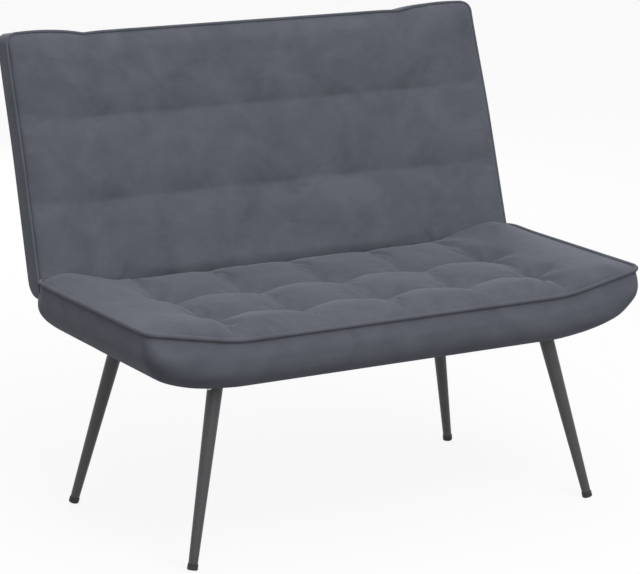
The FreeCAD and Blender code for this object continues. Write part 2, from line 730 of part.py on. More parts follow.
def bolt(seat, direction, length):
    """A button-head bolt with a hexagon socket. Its head bears at the seat."""
    crown = seat - direction * HEAD_HEIGHT
    head = Part.makeCone(HEAD_RADIUS * HEAD_TAPER, HEAD_RADIUS, HEAD_HEIGHT, crown, direction)
    side_step = direction.cross(Vector(1, 0, 0)).normalize() * SOCKET_RADIUS
    hexagon = [crown + Rotation(direction, 60 * i).multVec(side_step) for i in range(6)]
    shank = rod(BOLT_RADIUS, seat, seat + direction * length)
    return head.fuse(shank).cut(slab(hexagon, direction * SOCKET_DEPTH))


def t_nut(face, direction):
    """A T-nut whose flange bears on the far face and whose barrel points back at the bolt."""
    flange = rod(NUT_FLANGE, face, face + direction * NUT_FLANGE_THICK)
    barrel = rod(NUT_BARREL, face - direction * NUT_LENGTH, face)
    bore = rod(BOLT_RADIUS + PLUG_SLACK, face - direction * NUT_LENGTH, face + direction * NUT_FLANGE_THICK)
    return flange.fuse(barrel).cut(bore)


def leg_bolt_places(ends=("front", "rear")):
    half_x, half_y = BOLT_SPACING[0] / 2, BOLT_SPACING[1] / 2
    return [(PLATE_CENTRE[end][0] + dx, PLATE_CENTRE[end][1] + dy)
            for end in ends for dx in (-half_x, half_x) for dy in (-half_y, half_y)]


def all_leg_bolt_places():
    return [(side * x, y) for side in SIDES.values() for x, y in leg_bolt_places()]


def leg_fasteners():
    up = Vector(0, 0, 1)
    plate_face = UNDERSIDE_Z - PLATE_THICK
    board_top = INNER_FLOOR + LEG_BOARD_THICK
    bolts, washers, nuts = [], [], []
    for x, y in all_leg_bolt_places():
        bearing = Vector(x, y, plate_face - WASHER_THICK)
        bolts.append(bolt(bearing, up, board_top - bearing.z))
        ring = rod(WASHER_RADIUS, bearing, Vector(x, y, plate_face))
        washers.append(ring.cut(rod(BOLT_HOLE, bearing, Vector(x, y, plate_face))))
        nuts.append(t_nut(Vector(x, y, board_top), up))
    return {"leg_bolts": bolts, "leg_washers": washers, "leg_t_nuts": nuts}


def bar_fasteners():
    rearward = Vector(0, 1, 0)
    face = BACK_BOARD[0] - BAR_THICK
    rear_faces = {"rail": BACK_BOARD[0] + RAIL_THICK, "board": BACK_BOARD[1]}
    bolts, nuts = [], []
    for part, rear_face in rear_faces.items():
        for x, z in bar_places(part):
            bolts.append(bolt(Vector(x, face, z), rearward, rear_face - face))
            nuts.append(t_nut(Vector(x, rear_face, z), rearward))
    return {"bar_bolts": [on_back(b) for b in bolts], "bar_t_nuts": [on_back(n) for n in nuts]}


# Legs

def leg_axis(end):
    foot = Vector(*LEG_FEET[end], 0)
    top = Vector(*LEG_TOPS[end], LEG_TOP_Z)
    return foot, (top - foot).normalize(), (top - foot).Length


def leg(end):
    """A tapered tube, cut level where it is welded to its plate."""
    foot, direction, length = leg_axis(end)
    start = foot + direction * (GLIDE_LIFT + GLIDE_HEIGHT)
    spare = 10.0
    reach = length + spare - GLIDE_LIFT - GLIDE_HEIGHT
    tube = Part.makeCone(LEG_FOOT_RADIUS, LEG_TOP_RADIUS, reach, start, direction)
    bore = Part.makeCone(LEG_FOOT_RADIUS - LEG_WALL, LEG_TOP_RADIUS - LEG_WALL, reach, start, direction)
    above = box((0, SEAT_HALF), (SEAT_FRONT, SEAT_REAR), (UNDERSIDE_Z - PLATE_THICK, SEAM_Z))
    return tube.cut(bore).cut(above)


def leg_plate(end):
    x, y = PLATE_CENTRE[end]
    half_x, half_y = PLATE_SIZE[0] / 2, PLATE_SIZE[1] / 2
    low = UNDERSIDE_Z - PLATE_THICK
    signs = ((-1, -1), (1, -1), (1, 1), (-1, 1))
    corners = [Vector(x + sx * half_x, y + sy * half_y, low) for sx, sy in signs]
    outline = rounded_wire(corners, [PLATE_CORNER] * 4)
    plate = Part.Face(outline).extrude(Vector(0, 0, PLATE_THICK))
    holes = [rod(BOLT_HOLE, Vector(px, py, low), Vector(px, py, UNDERSIDE_Z))
             for px, py in leg_bolt_places((end,))]
    return plate.cut(Part.makeCompound(holes))


def glide(end):
    """A plastic cap with a plug in the tube, its sole faced level with the floor."""
    foot, direction, _ = leg_axis(end)
    plug_radius = LEG_FOOT_RADIUS - LEG_WALL - PLUG_SLACK
    plug_top = GLIDE_HEIGHT + PLUG_LENGTH
    bend = GLIDE_ROUND * (1 - math.sqrt(0.5))
    spots = [Vector(r, 0, h) for r, h in (
        (0, 0), (GLIDE_RADIUS - GLIDE_ROUND, 0), (GLIDE_RADIUS, GLIDE_ROUND),
        (GLIDE_RADIUS, GLIDE_HEIGHT - GLIDE_EDGE), (GLIDE_RADIUS - GLIDE_EDGE, GLIDE_HEIGHT),
        (plug_radius, GLIDE_HEIGHT), (plug_radius, plug_top), (0, plug_top))]
    edges = [line(spots[0], spots[1]), arc(spots[1], Vector(GLIDE_RADIUS - bend, 0, bend), spots[2])]
    edges += [line(a, b) for a, b in zip(spots[2:], spots[3:] + spots[:1])]
    cap = Part.Face(Part.Wire(edges)).revolve(Vector(0, 0, 0), Vector(0, 0, 1), 360)
    cap.Placement = Placement(foot + direction * GLIDE_LIFT, Rotation(Vector(0, 0, 1), direction))
    below = box((0, SEAT_HALF), (SEAT_FRONT, BACK_LENGTH), (-2 * GLIDE_HEIGHT, 0))
    return cap.cut(below)


# Assembly

def pair(name, shape):
    """A right-hand piece and its mirror image."""
    return {f"{name}_right": shape, f"{name}_left": mirrored(shape)}


def seat_nodes():
    boards = pair("leg_board", leg_board())
    nodes = {
        "seat_panel": seat_panel(),
        "seat_border": seat_border(),
        "seat_welt": seat_welt(),
        "seat_rear_strip": rear_strip(),
        "seat_foam": seat_foam(),
        "dust_cover": dust_cover(),
        "front_rail": front_rail(),
        "middle_rail": middle_rail(list(boards.values())),
        "rear_rail": rear_rail(),
        "deck_centre": deck_centre(),
        "seat_tuft_ties": seat_tie_rods(TIE_RADIUS),
        "seat_tie_washers": seat_tie_washers(),
    }
    nodes.update(boards)
    nodes.update(pair("inner_rib", inner_rib()))
    nodes.update(pair("end_rib", end_rib()))
    nodes.update(pair("deck_wing", deck_wing()))
    return nodes


def back_nodes():
    nodes = {
        "back_panel": back_panel(),
        "back_cover": back_cover(),
        "back_welt": back_welt(),
        "back_foam": back_foam(),
        "back_board": back_board(),
        "back_bar_right": back_bar(1),
        "back_bar_left": back_bar(-1),
        "back_tuft_ties": on_back(back_tie_rods(TIE_RADIUS)),
        "back_tie_washers": back_tie_washers(),
    }
    for name, shape in (("back_wing_board", back_wing_board()), ("back_cleat", back_cleat())):
        nodes.update({key: on_back(piece) for key, piece in pair(name, shape).items()})
    for name, solids in bar_fasteners().items():
        nodes[name] = Part.makeCompound(solids)
    return nodes


def leg_nodes():
    nodes = {}
    for end in LEG_FEET:
        for name, make in (("leg", leg), ("leg_plate", leg_plate), ("foot_glide", glide)):
            nodes.update(pair(f"{name}_{end}", make(end)))
    for name, solids in leg_fasteners().items():
        nodes[name] = Part.makeCompound(solids)
    return nodes


def main():
    os.makedirs("parts", exist_ok=True)
    nodes = {**seat_nodes(), **back_nodes(), **leg_nodes()}
    for name, shape in nodes.items():
        shape.exportStep(f"parts/{name}.step")
        print(name, "solids", len(shape.Solids), "valid", shape.isValid(), "volume", round(shape.Volume))


main()
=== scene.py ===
"""Looks of an armless quilted bench, built around its packed construction frame.

Metres. X runs along the bench, Y to the rear, Z up, with the floor at Z = 0.
"""

import logging
import math
from dataclasses import dataclass
from enum import Enum, IntEnum
from typing import Callable, Sequence

import bmesh
import bpy
from mathutils import Matrix, Vector, noise

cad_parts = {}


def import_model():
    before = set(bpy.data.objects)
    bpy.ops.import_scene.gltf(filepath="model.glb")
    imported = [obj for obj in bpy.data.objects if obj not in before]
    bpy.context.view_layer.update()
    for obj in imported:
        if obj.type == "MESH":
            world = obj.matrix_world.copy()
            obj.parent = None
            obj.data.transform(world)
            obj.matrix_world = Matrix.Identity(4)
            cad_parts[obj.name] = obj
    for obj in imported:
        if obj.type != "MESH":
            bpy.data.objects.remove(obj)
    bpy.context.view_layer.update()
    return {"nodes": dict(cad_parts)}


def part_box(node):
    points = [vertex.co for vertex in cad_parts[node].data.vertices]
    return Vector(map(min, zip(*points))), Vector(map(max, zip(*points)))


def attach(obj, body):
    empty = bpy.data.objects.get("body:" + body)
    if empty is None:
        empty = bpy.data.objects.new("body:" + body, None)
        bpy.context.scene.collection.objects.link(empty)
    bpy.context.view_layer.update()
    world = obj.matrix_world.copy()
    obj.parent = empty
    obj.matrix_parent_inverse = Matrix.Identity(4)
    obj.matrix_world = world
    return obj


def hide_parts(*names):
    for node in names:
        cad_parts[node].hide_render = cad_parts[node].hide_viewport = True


LOG = logging.getLogger("bench")
BODY = "root"
RAKE = math.radians(15.5)        # lean of the back and of the seat's rear face
QUARTER = math.pi / 2
GRID_MERGE = 1e-5                # points of a grid closer than this become one
TINY = 1e-6                      # lengths below this count as nothing
FOLDED_AREA = 1e-10              # faces smaller than this are folded flat
TUBE_RESOLUTION = 3              # how finely a piping is rounded

Color = tuple[float, float, float]
Place = tuple[float, float, float]
Surface = Callable[[float, float], Vector]
Level = Callable[[Vector], float]


class Slot(Enum):
    """Material slot names for the new pieces, which take their finish from the material passed with them."""

    VELVET = "velvet"
    PIPING = "velvet_piping"
    FOAM = "foam"
    DUST_CLOTH = "dust_cloth"


class BorderPart(IntEnum):
    """Stretches of the seat border's section, from its front seam round to its rear hem."""

    FRONT = 0
    FRONT_TURN = 1
    UNDERSIDE = 2
    REAR_TURN = 3
    REAR = 4
    HEM = 5


class CoverPart(IntEnum):
    """Stretches of the back cover's section, from its front edge under the foot up to the top's front."""

    FOOT = 0
    FOOT_TURN = 1
    REAR = 2
    TOP_TURN = 3
    TOP = 4


# Shared form helpers

def smooth_step(share: float) -> float:
    """Eases a share from 0 to 1."""
    share = min(max(share, 0.0), 1.0)
    return share * share * (3.0 - 2.0 * share)


def mix(start: float, end: float, share: float) -> float:
    """Value at a share of the way from start to end."""
    return start + (end - start) * share


def pinch(distance: float, reach: float, power: float) -> float:
    """How far a sewn crease draws cloth in: 1 in the crease, 0 beyond its reach."""
    return (1.0 - min(abs(distance) / reach, 1.0)) ** power


def deeper(first: float, second: float) -> float:
    """The deeper of two dips, with a soft change from one to the other."""
    return (first ** 4 + second ** 4) ** 0.25


def round_off(distance: float, reach: float) -> float:
    """Share of its full height that a panel has at a distance from its sewn edge."""
    away = 1.0 - min(max(distance, 0.0) / reach, 1.0)
    return math.sqrt(max(0.0, 1.0 - away * away))


def corner_cut(x: float, half: float, radius: float) -> float:
    """How far a plan corner of this radius has drawn an edge in at x."""
    into = min(max(abs(x) - (half - radius), 0.0), radius)
    return radius - math.sqrt(radius * radius - into * into)


def even(count: int) -> list[float]:
    """Evenly spaced shares from 0 to 1, with count steps."""
    return [i / count for i in range(count + 1)]


@dataclass(frozen=True)
class Spacing:
    """How places are spread along an axis: evenly in the middle, crowded over a stretch at each end."""

    step: float
    edge: float
    edge_steps: int

    def along(self, half: float) -> list[float]:
        """Spreads places over a run.

        Args:
            half: half the length of the run.

        Returns:
            The places from -half to half, in order.
        """
        inner = half - self.edge
        count = max(1, round(2 * inner / self.step))
        middle = [-inner + 2 * inner * share for share in even(count)]
        tail = [inner + self.edge * math.sin(QUARTER * share) for share in even(self.edge_steps)[1:]]
        return [-x for x in reversed(tail)] + middle + tail


def mapped_grid(columns: Sequence[float], rows: Sequence[float], place: Surface) -> bmesh.types.BMesh:
    """A grid of quads laid on a surface.

    Args:
        columns: the surface's first parameter at each column.
        rows: its second parameter at each row.
        place: the surface.

    Returns:
        The mesh, open at its four sides.
    """
    shape = bmesh.new()
    bmesh.ops.create_grid(shape, x_segments=len(columns) - 1, y_segments=len(rows) - 1, size=0.5)
    for vert in shape.verts:
        column = round((vert.co.x + 0.5) * (len(columns) - 1))
        row = round((vert.co.y + 0.5) * (len(rows) - 1))
        vert.co = place(columns[column], rows[row])
    bmesh.ops.remove_doubles(shape, verts=shape.verts[:], dist=GRID_MERGE)
    return shape


def close_pad(shape: bmesh.types.BMesh, bottom: Callable[[Vector], Vector]) -> None:
    """Makes a solid of an open panel by giving it walls and an underside.

    Args:
        shape: the open panel, changed in place.
        bottom: where each of its points lies on the underside.
    """
    made = bmesh.ops.extrude_face_region(shape, geom=shape.faces[:])
    for vert in (item for item in made["geom"] if isinstance(item, bmesh.types.BMVert)):
        vert.co = bottom(vert.co)
    bmesh.ops.recalc_face_normals(shape, faces=shape.faces[:])


def opened(mesh: bpy.types.Mesh) -> bmesh.types.BMesh:
    """A mesh as a shape that can be edited.

    Args:
        mesh: the mesh, which stays as it is.

    Returns:
        The shape.
    """
    shape = bmesh.new()
    shape.from_mesh(mesh)
    return shape


def store(shape: bmesh.types.BMesh, mesh: bpy.types.Mesh) -> None:
    """Stores a shape in a mesh, shaded smooth.

    Args:
        shape: the shape, which is freed.
        mesh: the mesh that takes it.
    """
    shape.to_mesh(mesh)
    shape.free()
    mesh.polygons.foreach_set("use_smooth", [True] * len(mesh.polygons))


def make_piece(name: str, shape: bmesh.types.BMesh) -> bpy.types.Object:
    """Turns a shape into a piece at the origin.

    Args:
        name: the piece's name.
        shape: its form, which is freed.

    Returns:
        The piece, linked into the scene.
    """
    mesh = bpy.data.meshes.new(name)
    store(shape, mesh)
    piece = bpy.data.objects.new(name, mesh)
    bpy.context.scene.collection.objects.link(piece)
    return piece


def make_tube(name: str, points: Sequence[Vector], radius: float) -> bpy.types.Object:
    """A round piping along a smooth line.

    Args:
        name: the piece's name.
        points: the line, close enough together to be smooth.
        radius: the piping's radius.

    Returns:
        The piece, as a mesh with closed ends.
    """
    curve = bpy.data.curves.new(name, "CURVE")
    curve.dimensions = "3D"
    curve.bevel_depth = radius
    curve.bevel_resolution = TUBE_RESOLUTION
    curve.use_fill_caps = True
    spline = curve.splines.new("POLY")
    spline.points.add(len(points) - 1)
    for spot, point in zip(spline.points, points):
        spot.co = (*point, 1.0)
    source = bpy.data.objects.new(name + "_line", curve)
    mesh = bpy.data.meshes.new_from_object(source)
    bpy.data.objects.remove(source)
    bpy.data.curves.remove(curve)
    shape = opened(mesh)
    bpy.data.meshes.remove(mesh)
    bmesh.ops.remove_doubles(shape, verts=shape.verts[:], dist=TINY)
    bmesh.ops.recalc_face_normals(shape, faces=shape.faces[:])
    return make_piece(name, shape)


def give_wall(piece: bpy.types.Object, thickness: float) -> None:
    """Gives an open sheet its thickness, on its inner side.

    Args:
        piece: the sheet.
        thickness: the wall's thickness.
    """
    wall = piece.modifiers.new("Wall", "SOLIDIFY")
    wall.thickness = thickness
    wall.offset = -1.0
    wall.use_rim = True


def take_place(piece: bpy.types.Object, node: str, slot: Slot, finish: bpy.types.Material) -> None:
    """Dresses a piece and lets it stand for a construction node.

    Args:
        piece: the piece.
        node: the node that it replaces.
        slot: the material slot; not used.
        finish: the material.
    """
    piece.data.materials.append(finish)
    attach(piece, BODY)
    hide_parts(node)


@dataclass(frozen=True)
class Stuffing:
    """Swells a sewn panel by pressure while its seams and tufts stay where they are sewn."""

    pressure: float
    slack: float
    most: float                      # no point moves further than this
    frames: int = 20
    quality: int = 6
    weight: float = 0.3
    stretch: float = 18.0
    shear: float = 8.0
    bending: float = 0.6
    drag: float = 3.0
    group: str = "sewn"

    def swell(self, piece: bpy.types.Object, sewn: Level, kept: Level) -> None:
        """Simulates the panel's cloth and keeps the result in its mesh.

        Args:
            piece: an open panel. Its outer edge is sewn all round.
            sewn: how firmly a point is held, from 0 to 1.
            kept: share of its movement that a point keeps.
        """
        self._hold(piece, sewn)
        cloth = piece.modifiers.new("Stuffing", "CLOTH")
        settings = cloth.settings
        settings.quality = self.quality
        settings.mass = self.weight
        settings.tension_stiffness = self.stretch
        settings.compression_stiffness = self.stretch
        settings.shear_stiffness = self.shear
        settings.bending_stiffness = self.bending
        settings.air_damping = self.drag
        settings.use_pressure = True
        settings.uniform_pressure_force = self.pressure
        settings.shrink_min = -self.slack
        settings.effector_weights.gravity = 0.0
        settings.vertex_group_mass = self.group
        cloth.point_cache.frame_start = 1
        cloth.point_cache.frame_end = self.frames
        for step in range(1, self.frames + 1):
            bpy.context.scene.frame_set(step)
        swollen = piece.evaluated_get(bpy.context.evaluated_depsgraph_get()).data
        shifts = [moved.co - rest.co for moved, rest in zip(swollen.vertices, piece.data.vertices)]
        piece.modifiers.remove(cloth)
        piece.vertex_groups.clear()
        bpy.context.scene.frame_set(1)
        for vert, shift in zip(piece.data.vertices, shifts):
            vert.co += shift * kept(vert.co) * min(1.0, self.most / max(shift.length, TINY))
        LOG.info("%s swelled by up to %.1f mm", piece.name, 1000 * max(shift.length for shift in shifts))

    def _hold(self, piece: bpy.types.Object, sewn: Level) -> None:
        """Marks the panel's edge, seams and tufts as held.

        Args:
            piece: the open panel.
            sewn: how firmly a point is held, from 0 to 1.
        """
        group = piece.vertex_groups.new(name=self.group)
        shape = opened(piece.data)
        for vert in shape.verts:
            weight = 1.0 if vert.is_boundary else sewn(vert.co)
            if weight > 0.0:
                group.add([vert.index], weight, "REPLACE")
        shape.free()


# Finishes

class Board:
    """The node board of one procedural material."""

    def __init__(self, name: str) -> None:
        """Starts a material with an empty board and a place to read the pattern from.

        Args:
            name: the material's name.
        """
        self.material = bpy.data.materials.new(name)
        self.material.use_nodes = True
        self.nodes = self.material.node_tree.nodes
        self.nodes.clear()
        self.place = self.add("ShaderNodeTexCoord").outputs["Object"]

    def add(self, kind: str, **inputs: object) -> bpy.types.Node:
        """Adds a node.

        Args:
            kind: the node's type.
            inputs: values or sockets by input name, with _ for a space.

        Returns:
            The node.
        """
        node = self.nodes.new(kind)
        for key, value in inputs.items():
            self.feed(node.inputs[key.replace("_", " ")], value)
        return node

    def feed(self, socket: bpy.types.NodeSocket, value: object) -> None:
        """Sets an input to a value, or links it to a socket.

        Args:
            socket: the input.
            value: the value or the socket.
        """
        if isinstance(value, bpy.types.NodeSocket):
            self.material.node_tree.links.new(value, socket)
        else:
            socket.default_value = value

    def spots(self, scale: float, detail: float, warp: float = 0.0,
              stretch: Sequence[float] = (1.0, 1.0, 1.0)) -> bpy.types.NodeSocket:
        """A cloudy pattern.

        Args:
            scale: spots per metre.
            detail: number of finer layers.
            warp: how far the spots are smeared.
            stretch: scale along each axis.

        Returns:
            The pattern's strength, from 0 to 1.
        """
        place = self.add("ShaderNodeMapping", Vector=self.place, Scale=tuple(stretch)).outputs["Vector"]
        cloud = self.add("ShaderNodeTexNoise", Vector=place, Scale=scale, Detail=detail, Roughness=0.55,
                         Distortion=warp)
        return cloud.outputs["Fac"]

    def blend(self, share: bpy.types.NodeSocket, low: Color, high: Color,
              start: float, end: float) -> bpy.types.NodeSocket:
        """A colour that runs from low to high.

        Args:
            share: the socket that it follows.
            low: the colour up to start.
            high: the colour from end on.
            start: value of share at which the run starts.
            end: value of share at which it ends.

        Returns:
            The colour.
        """
        ramp = self.nodes.new("ShaderNodeValToRGB")
        stops = ramp.color_ramp.elements
        stops[0].position, stops[0].color = start, (*low, 1.0)
        stops[1].position, stops[1].color = end, (*high, 1.0)
        self.feed(ramp.inputs["Fac"], share)
        return ramp.outputs["Color"]

    def sum(self, first: object, second: object, share: float) -> bpy.types.NodeSocket:
        """First plus a share of second.

        Args:
            first: a value or a socket.
            second: a value or a socket.
            share: how much of second is added.

        Returns:
            The sum.
        """
        node = self.nodes.new("ShaderNodeMath")
        node.operation = "MULTIPLY_ADD"
        self.feed(node.inputs[0], second)
        node.inputs[1].default_value = share
        self.feed(node.inputs[2], first)
        return node.outputs["Value"]

    def relief(self, height: bpy.types.NodeSocket, depth: float) -> bpy.types.NodeSocket:
        """Small relief of the given depth in metres."""
        return self.add("ShaderNodeBump", Height=height, Distance=depth, Strength=1.0).outputs["Normal"]

    def finish(self, **inputs: object) -> bpy.types.Material:
        """Ends the board in a shader.

        Args:
            inputs: the shader's values or sockets by input name, with _ for a space.

        Returns:
            The material.
        """
        shader = self.add("ShaderNodeBsdfPrincipled", **inputs)
        out = self.add("ShaderNodeOutputMaterial")
        self.feed(out.inputs["Surface"], shader.outputs["BSDF"])
        return self.material


@dataclass(frozen=True)
class Velvet:
    """Short-pile velvet whose nap lies in blotches."""

    name: str = "velvet"
    dark: Color = (0.088, 0.094, 0.114)
    light: Color = (0.116, 0.123, 0.147)
    sheen: float = 0.31
    sheen_tint: tuple[float, float, float, float] = (0.62, 0.66, 0.76, 1.0)
    pile_depth: float = 0.0004

    def make(self) -> bpy.types.Material:
        """Mottles the cloth with wide blotches, close streaks and a fine pile.

        Returns:
            The material.
        """
        board = Board(self.name)
        wide = board.spots(scale=11.0, detail=5.0, warp=0.8)
        close = board.spots(scale=46.0, detail=5.0, warp=1.2, stretch=(0.6, 1.0, 1.0))
        pile = board.spots(scale=900.0, detail=2.0)
        nap = board.sum(board.sum(wide, close, share=0.45), pile, share=0.10)
        color = board.blend(nap, self.dark, self.light, start=0.52, end=1.02)
        height = board.sum(pile, close, share=0.8)
        return board.finish(
            Base_Color=color, Roughness=0.92, Specular_IOR_Level=0.12, Sheen_Weight=self.sheen,
            Sheen_Roughness=0.38, Sheen_Tint=self.sheen_tint, Normal=board.relief(height, self.pile_depth))


@dataclass(frozen=True)
class PowderCoat:
    """Satin paint on metal, with a fine orange-peel grain."""

    name: str
    color: Color
    roughness: float = 0.36
    rougher: float = 0.12            # what worn spots add to the roughness
    paler: float = 1.25              # how much lighter worn spots are
    grain_depth: float = 0.00006

    def make(self) -> bpy.types.Material:
        """Varies the paint a little in tone and gloss.

        Returns:
            The material.
        """
        board = Board(self.name)
        grain = board.spots(scale=1400.0, detail=2.0)
        wear = board.spots(scale=35.0, detail=4.0)
        worn = tuple(self.paler * part for part in self.color)
        color = board.blend(wear, self.color, worn, start=0.35, end=0.75)
        rough = board.sum(self.roughness, wear, share=self.rougher)
        return board.finish(Base_Color=color, Roughness=rough, Metallic=0.0, Specular_IOR_Level=0.5,
                            Normal=board.relief(grain, self.grain_depth))


@dataclass(frozen=True)
class Plated:
    """Bright zinc plate."""

    name: str = "zinc_plate"
    dull: Color = (0.50, 0.50, 0.47)
    bright: Color = (0.66, 0.66, 0.64)

    def make(self) -> bpy.types.Material:
        """Clouds the plate.

        Returns:
            The material.
        """
        board = Board(self.name)
        cloud = board.spots(scale=220.0, detail=3.0)
        color = board.blend(cloud, self.dull, self.bright, start=0.3, end=0.7)
        return board.finish(Base_Color=color, Metallic=1.0, Roughness=board.sum(0.26, cloud, share=0.16))


@dataclass(frozen=True)
class Plywood:
    """Raw birch plywood with long grain."""

    name: str = "plywood"
    late: Color = (0.47, 0.31, 0.17)
    early: Color = (0.68, 0.51, 0.32)
    grain_depth: float = 0.0003

    def make(self) -> bpy.types.Material:
        """Draws the grain out along the bench.

        Returns:
            The material.
        """
        board = Board(self.name)
        grain = board.spots(scale=60.0, detail=6.0, warp=0.6, stretch=(0.06, 1.0, 1.0))
        color = board.blend(grain, self.late, self.early, start=0.3, end=0.7)
        return board.finish(Base_Color=color, Roughness=0.65, Normal=board.relief(grain, self.grain_depth))


@dataclass(frozen=True)
class Plain:
    """Foam, cloth, tape or plastic: two close tones with a grain."""

    name: str
    low: Color
    high: Color
    scale: float
    roughness: float
    depth: float

    def make(self) -> bpy.types.Material:
        """Grains the surface.

        Returns:
            The material.
        """
        board = Board(self.name)
        grain = board.spots(self.scale, detail=3.0)
        color = board.blend(grain, self.low, self.high, start=0.3, end=0.7)
        return board.finish(Base_Color=color, Roughness=self.roughness, Specular_IOR_Level=0.3,
                            Normal=board.relief(grain, self.depth))


# Upholstery

@dataclass(frozen=True)
class Quilt:
    """The grid of tufts that seat and back share, and the folds past which both turn as wings."""

    pitch: float = 0.180
    fold: float = 0.360
    fold_blend: float = 0.035
    columns: tuple[float, ...] = (-0.360, -0.180, 0.0, 0.180, 0.360)

    def past_fold(self, x: float) -> float:
        """Distance beyond the fold line, with a soft start.

        Args:
            x: place along the bench.

        Returns:
            The distance, 0 in the middle of the bench.
        """
        beyond = abs(x) - self.fold
        if abs(beyond) < self.fold_blend:
            return (beyond + self.fold_blend) ** 2 / (4.0 * self.fold_blend)
        return max(beyond, 0.0)

    def from_column(self, x: float) -> float:
        """Distance to the nearest column of tufts."""
        return min(abs(x - column) for column in self.columns)

    def near_column(self, x: float) -> float:
        """1 at a column of tufts, 0 halfway to the next one, and 0 out on the wings."""
        return 1.0 - smooth_step(self.from_column(x) / (0.5 * self.pitch))


@dataclass
class Seat:
    """The boat-shaped seat cushion: quilted panel, border, piping and the strip that carries the back."""

    quilt: Quilt
    cloth: bpy.types.Material

    # Plan of the seam
    half: float = 0.5362
    front: float = -0.3165
    rear: float = 0.207
    sweep: float = 0.0077            # set-back of the front corners
    front_corner: float = 0.020
    rear_corner: float = 0.112
    rear_slope: float = math.tan(RAKE)

    # Height of the seam
    seam: float = 0.4216
    wing_rise: float = 0.0316
    rear_rise: float = 0.0133        # what the wing tips rise more at the rear
    tip_rise: float = 0.002          # and once more beside the back
    tip_start: float = 0.040
    tip_end: float = 0.140

    # Quilted panel
    rows: tuple[float, float] = (-0.2025, -0.0365)
    crest: float = 0.0264
    crease_dip: float = 0.011
    tuft_dip: float = 0.022
    fold_dip: float = 0.011
    column_dip: float = 0.005
    row_reach: float = 0.080
    column_reach: float = 0.075
    fold_reach: float = 0.034
    crease_power: float = 2.4
    tuft_power: float = 1.5
    front_roll: float = 0.078
    side_roll: float = 0.070
    wing_roll: float = 0.050
    rear_roll: float = 0.030
    rear_share: float = 0.85
    fuller_start: float = -0.150
    wing_turn: float = 0.055
    wing_fall: float = 0.150
    wing_swelling: float = 0.12
    panel_rear: float = 0.150
    wing_draw: float = 0.022
    panel_depth: float = 0.010
    gap: float = 0.001
    tuft_radius: float = 0.006
    panel_columns: Spacing = Spacing(0.0045, 0.040, 14)
    row_crowding: float = 1.15       # crowds the panel's rows towards the front
    stuffing: Stuffing = Stuffing(pressure=3.0, slack=0.010, most=0.008)

    # Border
    underside: float = 0.331
    flat_half: float = 0.392
    end_lift: float = 0.014
    lift_run: float = 0.060
    front_round: float = 0.045
    rear_round: float = 0.015
    end_round: float = 0.035
    round_share: float = 0.5         # most of the border's height that a round takes up
    turn_rounds: int = 3
    end_turn: float = 0.455
    ease_rounds: int = 14
    ease_below: float = 0.014
    ease_factor: float = 0.5
    border_drop: float = 0.002
    skin: float = 0.0015
    foot_clear: float = 0.160
    foot_turn: float = 0.012
    hem_rise: float = 0.0006
    rear_hem: float = 0.030
    part_ends: tuple[float, ...] = (0.18, 0.42, 0.66, 0.76, 0.95, 1.0)
    border_columns: Spacing = Spacing(0.008, 0.075, 24)
    border_rows: int = 100

    # Fullness of the border beyond its seam
    front_bulge: float = 0.006
    end_bulge: float = 0.0115
    bulge_full: float = 0.40
    front_fade: float = 0.38
    rear_fade: float = 0.65
    belly: float = 1.25
    belly_half: float = 0.420
    belly_ramp: float = 0.080
    belly_reach: float = 0.060
    rear_facing: float = 0.9         # faces that point this much to the rear aren't filled out
    facing_ramp: float = 0.5

    # Rear strip
    strip_top: float = 0.4246
    strip_half: float = 0.480
    strip_drop: float = 0.006
    strip_roll: float = 0.012
    strip_columns: Spacing = Spacing(0.012, 0.020, 6)
    strip_rows: int = 12

    # Piping
    welt_radius: float = 0.0042
    welt_out: float = 0.0015
    welt_end: float = 0.132
    welt_tuck: tuple[Place, ...] = ((-0.012, 0.008, 0.0), (-0.005, 0.005, 0.0))
    welt_side_steps: int = 40
    welt_columns: Spacing = Spacing(0.006, 0.060, 24)

    def wing_share(self, x: float) -> float:
        """0 in the flat middle, 1 at the tip of a wing."""
        return self.quilt.past_fold(x) / (self.half - self.quilt.fold)

    def depth_share(self, y: float) -> float:
        """0 at the front of the seat, 1 at its rear."""
        return (y - self.front) / (self.rear - self.front)

    def seam_z(self, x: float, y: float) -> float:
        """Height of the seam between panel and border. The wings rise a little more beside the back.

        Args:
            x: place along the bench.
            y: place from front to rear.

        Returns:
            The height.
        """
        beside = self.tip_rise * smooth_step((y - self.tip_start) / (self.tip_end - self.tip_start))
        rise = self.wing_rise + self.rear_rise * self.depth_share(y) + beside
        return self.seam + rise * self.wing_share(x)

    def front_y(self, x: float, inset: float) -> float:
        """Front edge in plan, drawn in by inset."""
        cut = corner_cut(x, self.half - inset, self.front_corner - inset)
        return self.front + inset + self.sweep * self.wing_share(x) + cut

    def rear_y(self, x: float, z: float, inset: float) -> float:
        """Rear face in plan at a height, drawn in by inset."""
        cut = corner_cut(x, self.half - inset, self.rear_corner - inset)
        return self.rear - inset + (z - self.seam) * self.rear_slope - cut

    def side_x(self, y: float) -> float:
        """Side edge in plan, drawn in at the rear corner."""
        corner = self.rear_y(0.0, self.seam + self.wing_rise, 0.0) - self.rear_corner
        return self.half - corner_cut(max(0.0, y - corner), self.rear_corner, self.rear_corner)

    def panel_rear_y(self, x: float) -> float:
        """Rear edge of the quilted panel, tucked under the back's lower edge."""
        free = self.panel_rear - self.wing_draw * self.wing_share(x)
        return min(free, self.rear_y(x, self.seam_z(x, free), self.gap))

